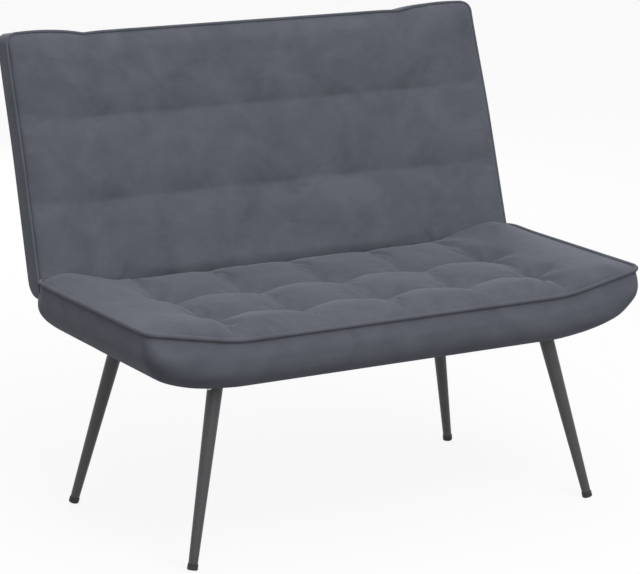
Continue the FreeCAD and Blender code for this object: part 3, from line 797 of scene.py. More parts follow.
    def swell(self, x: float, y: float) -> float:
        """Height of the quilted top above its seam.

        Args:
            x: place along the bench.
            y: place from front to rear.

        Returns:
            The height.
        """
        quilt = self.quilt
        beyond = abs(x) - quilt.fold
        on_wing = smooth_step(beyond / self.wing_turn)
        row = min(abs(y - place) for place in self.rows)
        row_dip = mix(self.crease_dip, self.tuft_dip, quilt.near_column(x) ** self.tuft_power)
        row_dip *= pinch(row, self.row_reach, self.crease_power) * (1.0 - on_wing)
        rearward = smooth_step((y - self.rows[1]) / (self.panel_rear - self.rows[1]))
        mid_dip = self.fold_dip * (1.0 - rearward) if beyond > -0.5 * quilt.pitch else self.column_dip
        near_row = 1.0 - smooth_step(row / (0.5 * (self.rows[1] - self.rows[0])))
        column_dip = mix(mid_dip, self.tuft_dip, near_row ** self.tuft_power)
        reach = self.fold_reach if beyond > 0 else self.column_reach
        column_dip *= pinch(quilt.from_column(x), reach, self.crease_power)
        height = self.crest - deeper(row_dip, column_dip)
        height *= round_off(y - self.front_y(x, self.gap), mix(self.front_roll, self.wing_roll, on_wing))
        height *= self._side_fall(x, y)
        share = mix(self.rear_share, 1.0, on_wing)
        return height * mix(share, 1.0, round_off(self.panel_rear_y(x) - y, self.rear_roll))

    def _side_fall(self, x: float, y: float) -> float:
        """Fall of the panel towards the sides: long in front, short and full beside the back.

        Args:
            x: place along the bench.
            y: place from front to rear.

        Returns:
            The share of its height that the panel keeps.
        """
        fuller = smooth_step((y - self.fuller_start) / (self.panel_rear - self.fuller_start))
        edge = max(0.0, self.side_x(y) - self.gap - abs(x))
        slack = max(0.0, 1.0 - edge / mix(self.wing_fall, self.side_roll, fuller))
        return 1.0 - slack * slack

    def panel(self) -> bpy.types.Object:
        """The quilted panel: a swollen, closed pad.

        Returns:
            The piece.
        """
        columns = self.panel_columns.along(self.half - self.gap)
        count = round((self.panel_rear - self.front) / self.panel_columns.step)
        rows = [share ** self.row_crowding for share in even(count)]

        def place(x: float, share: float) -> Vector:
            """A point of the panel's top."""
            y = mix(self.front_y(x, self.gap), self.panel_rear_y(x), share)
            return Vector((x, y, self.seam_z(x, y) + self.swell(x, y)))

        piece = make_piece("seat_quilted_panel", mapped_grid(columns, rows, place))
        self.stuffing.swell(piece, self.sewn, self.kept)
        shape = opened(piece.data)
        close_pad(shape, self._panel_bottom)
        store(shape, piece.data)
        return piece

    def sewn(self, spot: Vector) -> float:
        """How firmly a point of the panel is held by its tufts."""
        row = min(abs(spot.y - place) for place in self.rows)
        return 1.0 if math.hypot(self.quilt.from_column(spot.x), row) < self.tuft_radius else 0.0

    def kept(self, spot: Vector) -> float:
        """Share of its swelling that a point of the panel keeps: the wings lie flat."""
        return mix(1.0, self.wing_swelling, smooth_step((abs(spot.x) - self.quilt.fold) / self.wing_turn))

    def _panel_bottom(self, spot: Vector) -> Vector:
        """Where a point of the panel lies on its underside on the foam."""
        return Vector((spot.x, spot.y, self.seam_z(spot.x, spot.y) - self.panel_depth))

    def under_z(self, x: float, y: float) -> float:
        """Height of the underside, whose ends rise like a boat's, and a little more towards the rear.

        Args:
            x: place along the bench.
            y: place from front to rear.

        Returns:
            The height.
        """
        edge = self.seam_z(x, y) - self.border_drop
        into = min(max(abs(x) - self.flat_half, 0.0) / (self.half - self.flat_half), 1.0)
        deep = math.sqrt(1.0 - into * into)
        lift = self.end_lift * smooth_step((abs(x) - self.flat_half) / self.lift_run) * deep
        return mix(edge, self.underside, deep) + lift * self.depth_share(y)

    def rear_edge(self, x: float) -> float:
        """Height of the border's rear edge: below the back's foot, and up at the seam beside it.

        Args:
            x: place along the bench.

        Returns:
            The height.
        """
        edge = self.seam_z(x, self.rear_y(x, self.seam, 0.0)) - self.border_drop
        beside = (self.foot_clear - self.rear_y(x, edge, 0.0)) / self.foot_turn
        return mix(min(self.strip_top, edge), edge, smooth_step(beside))

    def _rear_turn(self, x: float) -> tuple[float, float]:
        """Finds how the underside turns up at the rear, in rounds, as height and radius hang together.

        Args:
            x: place along the bench.

        Returns:
            The underside's height there and the radius of the turn.
        """
        toward_end = smooth_step((abs(x) - self.end_turn) / self.lift_run)
        radius = mix(self.rear_round, self.end_round, toward_end)
        floor = self.seam
        for _ in range(self.turn_rounds):
            floor = self.under_z(x, self.rear_y(x, floor, radius))
            radius = min(radius, self.round_share * max(self.rear_edge(x) - floor, 0.0))
        return floor, radius

    def border_point(self, x: float, share: float) -> Vector:
        """A point of the border, from its front seam round the underside to its rear edge.

        Args:
            x: place along the bench.
            share: share of the way along the border's section.

        Returns:
            The point.
        """
        front = self.front_y(x, 0.0)
        edge = self.seam_z(x, front) - self.border_drop
        floor = self.under_z(x, front + self.front_round)
        rear_floor, rear_round = self._rear_turn(x)
        front_round = min(self.front_round, self.round_share * (edge - floor))
        rear_edge = max(self.rear_edge(x), rear_floor)
        part, local = self._part(share)
        turn = QUARTER * local
        if part is BorderPart.FRONT:
            return Vector((x, front, mix(edge, floor + front_round, local)))
        if part is BorderPart.FRONT_TURN:
            z = floor + front_round * (1 - math.sin(turn))
            return Vector((x, front + front_round * (1 - math.cos(turn)), z))
        if part is BorderPart.UNDERSIDE:
            y = mix(front + front_round, self.rear_y(x, rear_floor, 0.0) - rear_round, local)
            return Vector((x, y, self.under_z(x, y)))
        if part is BorderPart.REAR_TURN:
            z = rear_floor + rear_round * (1 - math.cos(turn))
            return Vector((x, self.rear_y(x, z, 0.0) - rear_round * (1 - math.sin(turn)), z))
        if part is BorderPart.REAR:
            z = mix(rear_floor + rear_round, rear_edge, local)
            return Vector((x, self.rear_y(x, z, 0.0), z))
        y = self.rear_y(x, rear_edge, 0.0) - self.rear_hem * local
        return Vector((x, y, rear_edge + self.hem_rise * local))

    def _part(self, share: float) -> tuple[BorderPart, float]:
        """Splits a share of the border's section.

        Args:
            share: share of the way along the whole section.

        Returns:
            The stretch that it falls in and the share of the way along that.
        """
        start = 0.0
        for part, end in zip(BorderPart, self.part_ends):
            if share <= end + TINY:
                return part, (share - start) / (end - start)
            start = end
        return BorderPart.HEM, 1.0

    def border(self) -> bpy.types.Object:
        """The velvet band round the seat, closed under its edges.

        Returns:
            The piece.
        """
        columns = self.border_columns.along(self.half)
        shape = mapped_grid(columns, even(self.border_rows), self.border_point)
        bmesh.ops.recalc_face_normals(shape, faces=shape.faces[:])
        self._ease_ends(shape)
        self._fill_out(shape)
        bmesh.ops.delete(shape, geom=self._under_opening(shape), context="FACES")
        piece = make_piece("seat_border_cover", shape)
        give_wall(piece, self.skin)
        return piece

    def _ease_ends(self, shape: bmesh.types.BMesh) -> None:
        """Smooths the folds where the border's ends run into its rear.

        Args:
            shape: the border, changed in place.
        """
        ends = [vert for vert in shape.verts
                if abs(vert.co.x) > self.end_turn and vert.co.y > self.rows[1] and not vert.is_boundary
                and vert.co.z < self.seam_z(vert.co.x, vert.co.y) - self.ease_below]
        for _ in range(self.ease_rounds):
            bmesh.ops.smooth_vert(shape, verts=ends, factor=self.ease_factor,
                                  use_axis_x=True, use_axis_y=True, use_axis_z=True)

    def _fill_out(self, shape: bmesh.types.BMesh) -> None:
        """Swells the front and the ends of the border out beyond its seam.

        Args:
            shape: the border, changed in place.
        """
        shape.normal_update()
        shifts = []
        for vert in shape.verts:
            edge = self.seam_z(vert.co.x, vert.co.y) - self.border_drop
            below = (edge - vert.co.z) / (edge - self.underside)
            fade = mix(self.front_fade, self.rear_fade, self.depth_share(vert.co.y))
            belly = smooth_step((self.front_y(vert.co.x, 0.0) - vert.co.y) / self.belly_reach + 1.0)
            belly *= self.belly * smooth_step((self.belly_half - abs(vert.co.x)) / self.belly_ramp)
            full = smooth_step(below / self.bulge_full) * max(smooth_step((1.0 - below) / fade), belly)
            sideways = smooth_step((self.rear_facing - vert.normal.y) / self.facing_ramp)
            bulge = mix(self.front_bulge, self.end_bulge, min(self.wing_share(vert.co.x), 1.0))
            shifts.append(vert.normal * bulge * full * sideways)
        for vert, shift in zip(shape.verts, shifts):
            vert.co += shift

    @staticmethod
    def _under_opening(shape: bmesh.types.BMesh) -> list[bmesh.types.BMFace]:
        """Finds the faces of the border's underside that the dust cloth takes the place of.

        Args:
            shape: the border.

        Returns:
            The faces.
        """
        low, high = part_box("dust_cover")

        def covered(spot: Vector) -> bool:
            """Whether a point lies over the dust cloth."""
            return low.x < spot.x < high.x and low.y < spot.y < high.y and spot.z < high.z

        return [face for face in shape.faces if all(covered(vert.co) for vert in face.verts)]

    def welt(self) -> bpy.types.Object:
        """The piping in the seam, from one end of the back round the front to the other.

        Returns:
            The piece.
        """
        corner = self.front + self.front_corner + self.sweep
        side = [self._side_point(mix(self.welt_end, corner, share)) for share in even(self.welt_side_steps)]
        tuck = [side[0] + Vector(step) for step in self.welt_tuck]
        front = [Vector((x, self.front_y(x, 0.0) - self.welt_out, self.seam_z(x, self.front)))
                 for x in self.welt_columns.along(self.half) if 0.0 <= x < self.half - TINY]
        half_line = tuck + side + list(reversed(front))
        rest = [Vector((-spot.x, spot.y, spot.z)) for spot in reversed(half_line) if spot.x > TINY]
        return make_tube("seat_piping", half_line + rest, self.welt_radius)

    def _side_point(self, y: float) -> Vector:
        """A point of the piping along the side of the seat."""
        x = self.side_x(y)
        return Vector((x + self.welt_out, y, self.seam_z(x, y)))

    def rear_strip(self) -> bpy.types.Object:
        """The padded strip behind the panel, on which the back stands.

        Returns:
            The piece.
        """
        low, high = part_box("seat_rear_strip")

        def place(x: float, share: float) -> Vector:
            """A point of the strip's top.

            Args:
                x: place along the bench.
                share: share of the way from its front to its rear.

            Returns:
                The point.
            """
            reach = min(high.y, self.rear_y(x, low.z, 2 * self.skin))
            y = mix(low.y, reach, share)
            edge = min(self.strip_half - abs(x), y - low.y, reach - y)
            return Vector((x, y, high.z - self.strip_drop * (1.0 - round_off(edge, self.strip_roll))))

        shape = mapped_grid(self.strip_columns.along(self.strip_half), even(self.strip_rows), place)
        close_pad(shape, lambda spot: Vector((spot.x, spot.y, low.z)))
        return make_piece("seat_rear_padding", shape)

    def build(self) -> list[bpy.types.Object]:
        """Builds and dresses the seat's upholstery.

        Returns:
            The pieces.
        """
        panel, border, welt, strip = self.panel(), self.border(), self.welt(), self.rear_strip()
        take_place(panel, "seat_panel", Slot.VELVET, self.cloth)
        take_place(border, "seat_border", Slot.VELVET, self.cloth)
        take_place(welt, "seat_welt", Slot.PIPING, self.cloth)
        take_place(strip, "seat_rear_strip", Slot.VELVET, self.cloth)
        return [panel, border, welt, strip]


@dataclass
class Back:
    """The raked back cushion, made upright in its own frame: Y to the rear of its seam, Z up along it."""

    quilt: Quilt
    cloth: bpy.types.Material

    # Place and outline
    lean: float = RAKE
    foot_y: float = 0.154
    foot_z: float = 0.425
    half: float = 0.5276
    length: float = 0.499
    depth: float = 0.057
    crown: float = 0.009             # what the top's rear stands above its front
    wing: float = 0.0216             # how far the wings' edges come forward
    taper: float = 0.006
    thinning: float = 0.12
    wing_ease: float = 0.375
    ear: float = 0.005               # what the top corners stand above the middle
    fold_pull: float = 0.003
    pull_reach: float = 0.045
    pull_power: float = 2.0
    wing_puff: float = 0.005
    top_corner: float = 0.018
    foot_corner: float = 0.012

    # Quilted panel
    rows: tuple[float, float] = (0.175, 0.336)
    crest: float = 0.016
    seam_dip: float = 0.0045
    tuft_dip: float = 0.0135
    fold_dip: float = 0.004
    wing_seam: float = 0.45
    over_reach: float = 0.060
    under_reach: float = 0.070
    seam_power: float = 2.4
    column_reach: float = 0.040
    fold_reach: float = 0.05
    crease_power: float = 2.2
    crease_up: float = 0.070
    crease_down: float = 0.022
    edge_roll: float = 0.040
    sunk_share: float = 0.3          # least share of its depth that a dip keeps at the edge
    panel_depth: float = 0.020
    gap: float = 0.001
    tuft_radius: float = 0.006
    panel_columns: Spacing = Spacing(0.0045, 0.040, 14)
    panel_rows: Spacing = Spacing(0.0190, 0.10, 10)
    stuffing: Stuffing = Stuffing(pressure=1.0, slack=0.002, most=0.003)

    # Cover
    border_drop: float = 0.002
    skin: float = 0.0015
    foot_round: float = 0.024
    rear_round: float = 0.008
    cover_columns: Spacing = Spacing(0.013, 0.045, 9)
    cover_rows: tuple[int, ...] = (10, 8, 52, 10, 10)
    bend_steps: int = 8

    # Piping
    welt_radius: float = 0.003
    welt_out: float = 0.0015
    welt_foot: float = 0.014
    welt_side_steps: int = 60
    welt_corner_steps: int = 14
    welt_top_steps: int = 100

    @property
    def slope(self) -> float:
        """Rise of the level foot line per unit of depth, in the back's own frame."""
        return math.tan(self.lean)

    @property
    def raked(self) -> Matrix:
        """The back's place in the bench."""
        turn = Matrix.Rotation(-self.lean, 4, "X")
        return Matrix.Translation((0.0, self.foot_y, self.foot_z)) @ turn

    def wing_share(self, x: float) -> float:
        """0 in the flat middle, 1 at the edge of a wing."""
        return self.quilt.past_fold(x) / (self.half - self.quilt.fold)

    def forward(self, x: float) -> float:
        """How far the wings come forward."""
        return self.wing * self.wing_share(x)

    def foot(self, x: float, inset: float) -> float:
        """Lower edge of the outline, drawn in by inset."""
        return inset + corner_cut(x, self.half - inset, self.foot_corner - inset)

    def top(self, x: float, inset: float) -> float:
        """Upper edge of the outline, drawn in by inset.

        Args:
            x: place along the bench.
            inset: how far it is drawn in.

        Returns:
            The height in the back's own frame.
        """
        out = min(self.wing_share(x), 1.0)
        ear = self.ear * out + self.wing_puff * math.sin(math.pi * out)
        pull = self.fold_pull * pinch(abs(x) - self.quilt.fold, self.pull_reach, self.pull_power)
        return self.length + ear - pull - inset - corner_cut(x, self.half - inset, self.top_corner - inset)

    def tapered(self, spot: Vector) -> Vector:
        """Draws the outline in towards its top, where the back is thinner and its wings turn less.

        Args:
            spot: a point of the back in its own frame.

        Returns:
            Where the point comes to lie in that frame.
        """
        up = spot.z / self.length
        ahead = self.forward(spot.x)
        deep = spot.y + ahead
        deep *= 1.0 - self.thinning * up if deep > 0 else 1.0
        ahead *= 1.0 - self.wing_ease * smooth_step(2.0 * up - 1.0)
        return Vector((spot.x * (1.0 + self.taper * (1.0 - 2.0 * up)), deep - ahead, spot.z))

    def swell(self, x: float, z: float) -> float:
        """How far the quilted front stands out from its seam.

        Args:
            x: place along the bench.
            z: place up the back.

        Returns:
            The distance, below 0 where a tuft is drawn in behind the seam.
        """
        quilt = self.quilt
        at_tuft = quilt.near_column(x)
        faded = mix(1.0, self.wing_seam, smooth_step((abs(x) - quilt.fold) / (0.5 * quilt.pitch)))
        dip = self.fold_dip * pinch(abs(x) - quilt.fold, self.fold_reach, self.crease_power)
        for row in self.rows:
            above = z - row
            reach = self.over_reach if above > 0 else self.under_reach
            depth = mix(self.seam_dip * faded, self.tuft_dip, at_tuft ** 2)
            seam = depth * pinch(above, reach, self.seam_power)
            fade = self.crease_up if above > 0 else self.crease_down
            pull = self.tuft_dip * (1.0 - smooth_step(abs(above) / fade))
            crease = pull * pinch(quilt.from_column(x), self.column_reach, self.crease_power)
            dip = max(dip, deeper(seam, crease))
        height = self.crest - dip
        edge = min(z - self.foot(x, self.gap), self.top(x, self.gap) - z)
        rolled = round_off(edge, self.edge_roll) * round_off(self.half - self.gap - abs(x), self.edge_roll)
        return height * rolled if height > 0 else height * min(1.0, rolled + self.sunk_share)

    def panel(self) -> bpy.types.Object:
        """The quilted panel: a swollen, closed pad.

        Returns:
            The piece.
        """
        columns = self.panel_columns.along(self.half - self.gap)
        rows = [0.5 + 0.5 * z for z in self.panel_rows.along(1.0)]

        def place(x: float, share: float) -> Vector:
            """A point of the panel's front."""
            z = mix(self.foot(x, self.gap), self.top(x, self.gap), share)
            return Vector((x, -self.forward(x) - self.swell(x, z), z))

        piece = make_piece("back_quilted_panel", mapped_grid(columns, rows, place))
        self._outward(piece)
        self.stuffing.swell(piece, self.sewn, lambda spot: 1.0)
        shape = opened(piece.data)
        close_pad(shape, self._panel_rear)
        self._lay(shape)
        store(shape, piece.data)
        return piece

    @staticmethod
    def _outward(piece: bpy.types.Object) -> None:
        """Turns an open front panel's faces to the sitter.

        Args:
            piece: the panel, changed in place.
        """
        shape = opened(piece.data)
        facing = sum(face.normal.y * face.calc_area() for face in shape.faces)
        if facing > 0:
            bmesh.ops.reverse_faces(shape, faces=shape.faces[:])
        store(shape, piece.data)

    def _panel_rear(self, spot: Vector) -> Vector:
        """Where a point of the panel lies on its flat rear."""
        low = self.foot(spot.x, self.gap) + self.panel_depth * self.slope
        return Vector((spot.x, self.panel_depth - self.forward(spot.x), max(spot.z, low)))

    def _lay(self, shape: bmesh.types.BMesh) -> None:
        """Tapers a shape and rakes it into its place."""
        for vert in shape.verts:
            vert.co = self.raked @ self.tapered(vert.co)

    def sewn(self, spot: Vector) -> float:
        """How firmly a point of the panel is held by its seams and tufts.

        Args:
            spot: the point.

        Returns:
            1 where it is held, else 0.
        """
        row = min(abs(spot.z - place) for place in self.rows)
        if row < 0.5 * self.panel_columns.step:
            return 1.0
        return 1.0 if math.hypot(self.quilt.from_column(spot.x), row) < self.tuft_radius else 0.0

    def cover(self) -> bpy.types.Object:
        """The velvet over the foot, rear, top and sides of the back.

        Returns:
            The piece.
        """
        places = self._cover_places()

        def place(column: float, share: float) -> Vector:
            """A point of the cover."""
            x, deep = places[round(column)]
            return self._cover_point(x, deep, share)

        columns = [float(i) for i in range(len(places))]
        shape = mapped_grid(columns, even(sum(self.cover_rows)), place)
        folded = [face for face in shape.faces if face.calc_area() < FOLDED_AREA]
        bmesh.ops.delete(shape, geom=folded, context="FACES")
        bmesh.ops.recalc_face_normals(shape, faces=shape.faces[:])
        self._lay(shape)
        piece = make_piece("back_rear_cover", shape)
        give_wall(piece, self.skin)
        return piece

    def _cover_places(self) -> list[tuple[float, float]]:
        """Goes round the cover in plan, from its left front edge over the rear to its right one.

        Returns:
            Each column's place along the bench and its depth behind the front edge.
        """
        wall = self.depth - self.border_drop
        radius = self.rear_round
        flat = [(x, wall) for x in self.cover_columns.along(self.half - radius) if x >= -TINY]
        turns = [QUARTER * share for share in even(self.bend_steps)[1:]]
        bend = [(self.half - radius * (1 - math.sin(turn)), wall - radius * (1 - math.cos(turn)))
                for turn in turns]
        side = [(self.half, (wall - radius) * (1 - share)) for share in even(self.cover_rows[0])[1:]]
        right = flat + bend + side
        return [(-x, deep) for x, deep in reversed(right[1:])] + right

    def _cover_point(self, x: float, deep: float, share: float) -> Vector:
        """A point of the cover's section, from its front edge under the foot up the rear to the top's front.

        Args:
            x: place along the bench.
            deep: depth of the section behind the cover's front edge.
            share: share of the way along the section.

        Returns:
            The point in the back's own frame.
        """
        front = self.border_drop - self.forward(x)
        rear = front + deep
        foot, top = self.foot(x, 0.0), self.top(x, 0.0)
        fullness = min(1.0, deep / (self.depth - self.border_drop - self.rear_round))
        radius, foot_round = self.rear_round * fullness, self.foot_round * fullness
        crown = self.crown * deep / (self.depth - self.border_drop)
        part, local = self._part(share)
        if fullness < 1.0:
            local = {CoverPart.FOOT: 1.0, CoverPart.TOP: 0.0}.get(part, local)
        turn = QUARTER * local
        if part is CoverPart.FOOT:
            y = mix(front, rear - foot_round, local)
            return Vector((x, y, foot + y * self.slope))
        if part is CoverPart.FOOT_TURN:
            y = rear - foot_round * (1 - math.sin(turn))
            return Vector((x, y, foot + y * self.slope + foot_round * (1 - math.cos(turn))))
        if part is CoverPart.REAR:
            return Vector((x, rear, mix(foot + rear * self.slope + foot_round, top + crown - radius, local)))
        if part is CoverPart.TOP_TURN:
            y = rear - radius * (1 - math.cos(turn))
            return Vector((x, y, top + crown - radius * (1 - math.sin(turn))))
        return Vector((x, mix(rear - radius, front, local), mix(top + crown, top, local)))

    def _part(self, share: float) -> tuple[CoverPart, float]:
        """Splits a share of the cover's section.

        Args:
            share: share of the way along the whole section.

        Returns:
            The stretch that it falls in and the share of the way along that.
        """
        row = round(share * sum(self.cover_rows))
        for part, count in zip(CoverPart, self.cover_rows):
            if row <= count:
                return part, row / count
            row -= count
        return CoverPart.TOP, 1.0

    def welt(self) -> bpy.types.Object:
        """The piping up one side, over the top and down the other.

        Returns:
            The piece.
        """
        out, corner = self.welt_out, self.top_corner
        reach = self.half - corner
        shoulder = self.length + self.ear - corner
        line = [Vector((self.half + out, -self.wing, mix(self.welt_foot, shoulder, share)))
                for share in even(self.welt_side_steps)[:-1]]
        for share in even(self.welt_corner_steps)[:-1]:
            turn = QUARTER * share
            x = reach + (corner + out) * math.cos(turn)
            line.append(Vector((x, -self.forward(x), shoulder + (corner + out) * math.sin(turn))))
        line += [Vector((x, -self.forward(x), self.top(x, 0.0) + out))
                 for x in (reach * (1 - share) for share in even(self.welt_top_steps))]
        line += [Vector((-spot.x, spot.y, spot.z)) for spot in reversed(line[:-1])]
        return make_tube("back_piping", [self.raked @ self.tapered(spot) for spot in line], self.welt_radius)

    def build(self) -> list[bpy.types.Object]:
        """Builds and dresses the back's upholstery.

        Returns:
            The pieces.
        """
        panel, cover, welt = self.panel(), self.cover(), self.welt()
        take_place(panel, "back_panel", Slot.VELVET, self.cloth)
        take_place(cover, "back_cover", Slot.VELVET, self.cloth)
        take_place(welt, "back_welt", Slot.PIPING, self.cloth)
        return [panel, cover, welt]


@dataclass
class Filling:
    """The foam slabs inside seat and back, and the black cloth under the seat."""

    seat: Seat
    back: Back
    foam: bpy.types.Material
    black_cloth: bpy.types.Material

    # Foam slabs
    slab_columns: int = 60
    slab_rows: int = 30
    slab_edge: float = 0.030
    slab_edge_steps: int = 6
    slab_gap: float = 0.001          # between a slab and the quilted panel over it
    seat_front_gap: float = 0.004
    seat_rear_gap: float = 0.008
    seat_end_gap: float = 0.025
    seat_depth: float = 0.029
    back_edge_gap: float = 0.006
    back_foot_gap: float = 0.010
    back_end_gap: float = 0.002
    back_depth: float = 0.008

    # Dust cloth
    cloth_columns: Spacing = Spacing(0.01, 0.01, 3)
    cloth_rows: int = 60
    cloth_lift: float = 0.0011
    cloth_thickness: float = 0.0006
    ripple: float = 0.0004
    ripples_along: float = 9.0
    ripples_across: float = 6.0
    ripple_seed: float = 0.7
    ripple_start: float = 0.05

    def _slab_columns(self, half: float) -> list[float]:
        """Columns of a slab's grid over its length."""
        return Spacing(2 * half / self.slab_columns, self.slab_edge, self.slab_edge_steps).along(half)

    def seat_slab(self) -> bpy.types.Object:
        """The foam under the seat's panel, in the space that its node holds.

        Returns:
            The piece.
        """
        low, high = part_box("seat_foam")
        seat = self.seat

        def place(x: float, share: float) -> Vector:
            """A point of the slab's top.

            Args:
                x: place along the bench.
                share: share of the way from its front to its rear.

            Returns:
                The point.
            """
            front = max(low.y, seat.front_y(x, self.seat_front_gap))
            y = mix(front, min(high.y, seat.rear_y(x, seat.seam, self.seat_rear_gap)), share)
            return Vector((x, y, seat.seam_z(x, y) - seat.panel_depth - self.slab_gap))

        columns = self._slab_columns(high.x - self.seat_end_gap)
        shape = mapped_grid(columns, even(self.slab_rows), place)
        close_pad(shape, self._seat_slab_bottom)
        return make_piece("seat_foam_slab", shape)

    def _seat_slab_bottom(self, spot: Vector) -> Vector:
        """Where a point of the seat's slab lies on its underside, which stays inside the border."""
        room = self.seat.under_z(spot.x, spot.y) + 2 * self.seat.skin
        return Vector((spot.x, spot.y, min(max(spot.z - self.seat_depth, room), spot.z)))

    def back_slab(self) -> bpy.types.Object:
        """The foam behind the back's panel, in the space that its node holds.

        Returns:
            The piece.
        """
        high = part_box("back_foam")[1]
        back = self.back

        def place(x: float, share: float) -> Vector:
            """A point of the slab's front.

            Args:
                x: place along the bench.
                share: share of the way up the back.

            Returns:
                The point in the back's own frame.
            """
            low = back.foot(x, self.back_edge_gap) + self.back_foot_gap
            z = mix(low, back.top(x, self.back_edge_gap), share)
            return Vector((x, back.panel_depth + self.slab_gap - back.forward(x), z))

        columns = self._slab_columns(high.x - self.back_end_gap)
        shape = mapped_grid(columns, even(self.slab_rows), place)
        close_pad(shape, lambda spot: spot + Vector((0.0, self.back_depth, 0.0)))
        for vert in shape.verts:
            vert.co = back.raked @ back.tapered(vert.co)
        return make_piece("back_foam_slab", shape)

    def dust_cloth(self) -> bpy.types.Object:
        """The thin black cloth stretched under the seat.

        Returns:
            The piece.
        """
        low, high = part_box("dust_cover")

        def place(x: float, y: float) -> Vector:
            """A point of the cloth, with a slight slackness between its staples.

            Args:
                x: place along the bench.
                y: place from front to rear.

            Returns:
                The point.
            """
            edge = min(high.x - abs(x), y - low.y, high.y - y)
            wave = noise.noise(Vector((self.ripples_along * x, self.ripples_across * y, self.ripple_seed)))
            ripple = self.ripple * wave * min(edge / self.ripple_start, 1.0)
            return Vector((x, y, low.z + self.cloth_lift + ripple))

        rows = [mix(low.y, high.y, share) for share in even(self.cloth_rows)]
        piece = make_piece("dust_cloth", mapped_grid(self.cloth_columns.along(high.x), rows, place))
        give_wall(piece, self.cloth_thickness)
        return piece

    def build(self) -> list[bpy.types.Object]:
        """Builds and dresses the fillings.

        Returns:
            The pieces.
        """
        seat_slab, back_slab, cloth = self.seat_slab(), self.back_slab(), self.dust_cloth()
        take_place(seat_slab, "seat_foam", Slot.FOAM, self.foam)
        take_place(back_slab, "back_foam", Slot.FOAM, self.foam)
        take_place(cloth, "dust_cover", Slot.DUST_CLOTH, self.black_cloth)
        return [seat_slab, back_slab, cloth]


@dataclass
class Frame:
    """The construction pieces that keep their own shape and get a finish."""

    nodes: dict[str, bpy.types.Object]
    timber: tuple[str, ...] = ("front_rail", "middle_rail", "rear_rail", "deck_", "leg_board", "inner_rib",
                               "end_rib", "back_board", "back_wing_board", "back_cleat")
    bars: tuple[str, ...] = ("back_bar_",)
    ties: tuple[str, ...] = ("seat_tuft_ties", "back_tuft_ties")
    fasteners: tuple[str, ...] = ("seat_tie_washers", "back_tie_washers", "bar_bolts", "bar_t_nuts",
                                  "leg_bolts", "leg_washers", "leg_t_nuts")
    legs: tuple[str, ...] = ("leg_front", "leg_rear", "leg_plate")
    glides: tuple[str, ...] = ("foot_glide",)

    def dress(self, names: tuple[str, ...], finish: bpy.types.Material) -> None:
        """Gives every node whose name starts with one of the names this finish.

        Args:
            names: starts of node names.
            finish: the material.
        """
        for node, piece in self.nodes.items():
            if node.startswith(names):
                piece.data.materials.clear()
                piece.data.materials.append(finish)
                LOG.info("%s is finished in %s", node, finish.name)

    def build(self) -> None:
        """Dresses timber, steel, fasteners, legs and glides."""
        tape = Plain("tuft_tape", low=(0.42, 0.40, 0.36), high=(0.56, 0.54, 0.50), scale=700.0,
                     roughness=0.85, depth=0.0003)
        plastic = Plain("glide_plastic", low=(0.030, 0.030, 0.031), high=(0.040, 0.040, 0.042), scale=900.0,
                        roughness=0.55, depth=0.0001)
        self.dress(self.timber, Plywood().make())
        self.dress(self.bars, PowderCoat("black_paint", color=(0.03, 0.03, 0.032)).make())
        self.dress(self.ties, tape.make())
        self.dress(self.fasteners, Plated().make())
        self.dress(self.legs, PowderCoat("leg_paint", color=(0.046, 0.047, 0.051)).make())
        self.dress(self.glides, plastic.make())


# Studio

@dataclass(frozen=True)
class Lamp:
    """A soft square lamp that looks at the bench."""

    name: str
    place: Place
    side: float
    power: float

    def make(self, target: Vector) -> None:
        """Hangs the lamp.

        Args:
            target: the point that it looks at.
        """
        data = bpy.data.lights.new(self.name, "AREA")
        data.shape = "SQUARE"
        data.size = self.side
        data.energy = self.power
        lamp = bpy.data.objects.new(self.name, data)
        lamp.location = self.place
        lamp.rotation_euler = (target - Vector(self.place)).to_track_quat("-Z", "Y").to_euler()
        bpy.context.scene.collection.objects.link(lamp)


@dataclass(frozen=True)
class Viewpoint:
    """The photograph's camera, in the bench's frame. Angles are in degrees."""

    place: Place = (-2.6308, -4.4074, 1.5372)
    azimuth: float = -30.82
    elevation: float = 12.28
    roll: float = -0.20
    focal_pixels: float = 2713.23
    image_width: float = 640.0
    sensor: float = 36.0

    def make(self) -> None:
        """Sets up the camera."""
        turn, lift, tip = (math.radians(angle) for angle in (self.azimuth, self.elevation, self.roll))
        right = Vector((math.cos(turn), math.sin(turn), 0.0))
        back = Vector((math.sin(turn) * math.cos(lift), -math.cos(turn) * math.cos(lift), math.sin(lift)))
        up = back.cross(right)
        across = right * math.cos(tip) + up * math.sin(tip)
        upward = up * math.cos(tip) - right * math.sin(tip)
        data = bpy.data.cameras.new("camera")
        data.sensor_width = self.sensor
        data.lens = self.focal_pixels * self.sensor / self.image_width
        camera = bpy.data.objects.new("camera", data)
        pose = Matrix((across, upward, back)).transposed().to_4x4()
        pose.translation = Vector(self.place)
        camera.matrix_world = pose
        bpy.context.scene.collection.objects.link(camera)
        bpy.context.scene.camera = camera


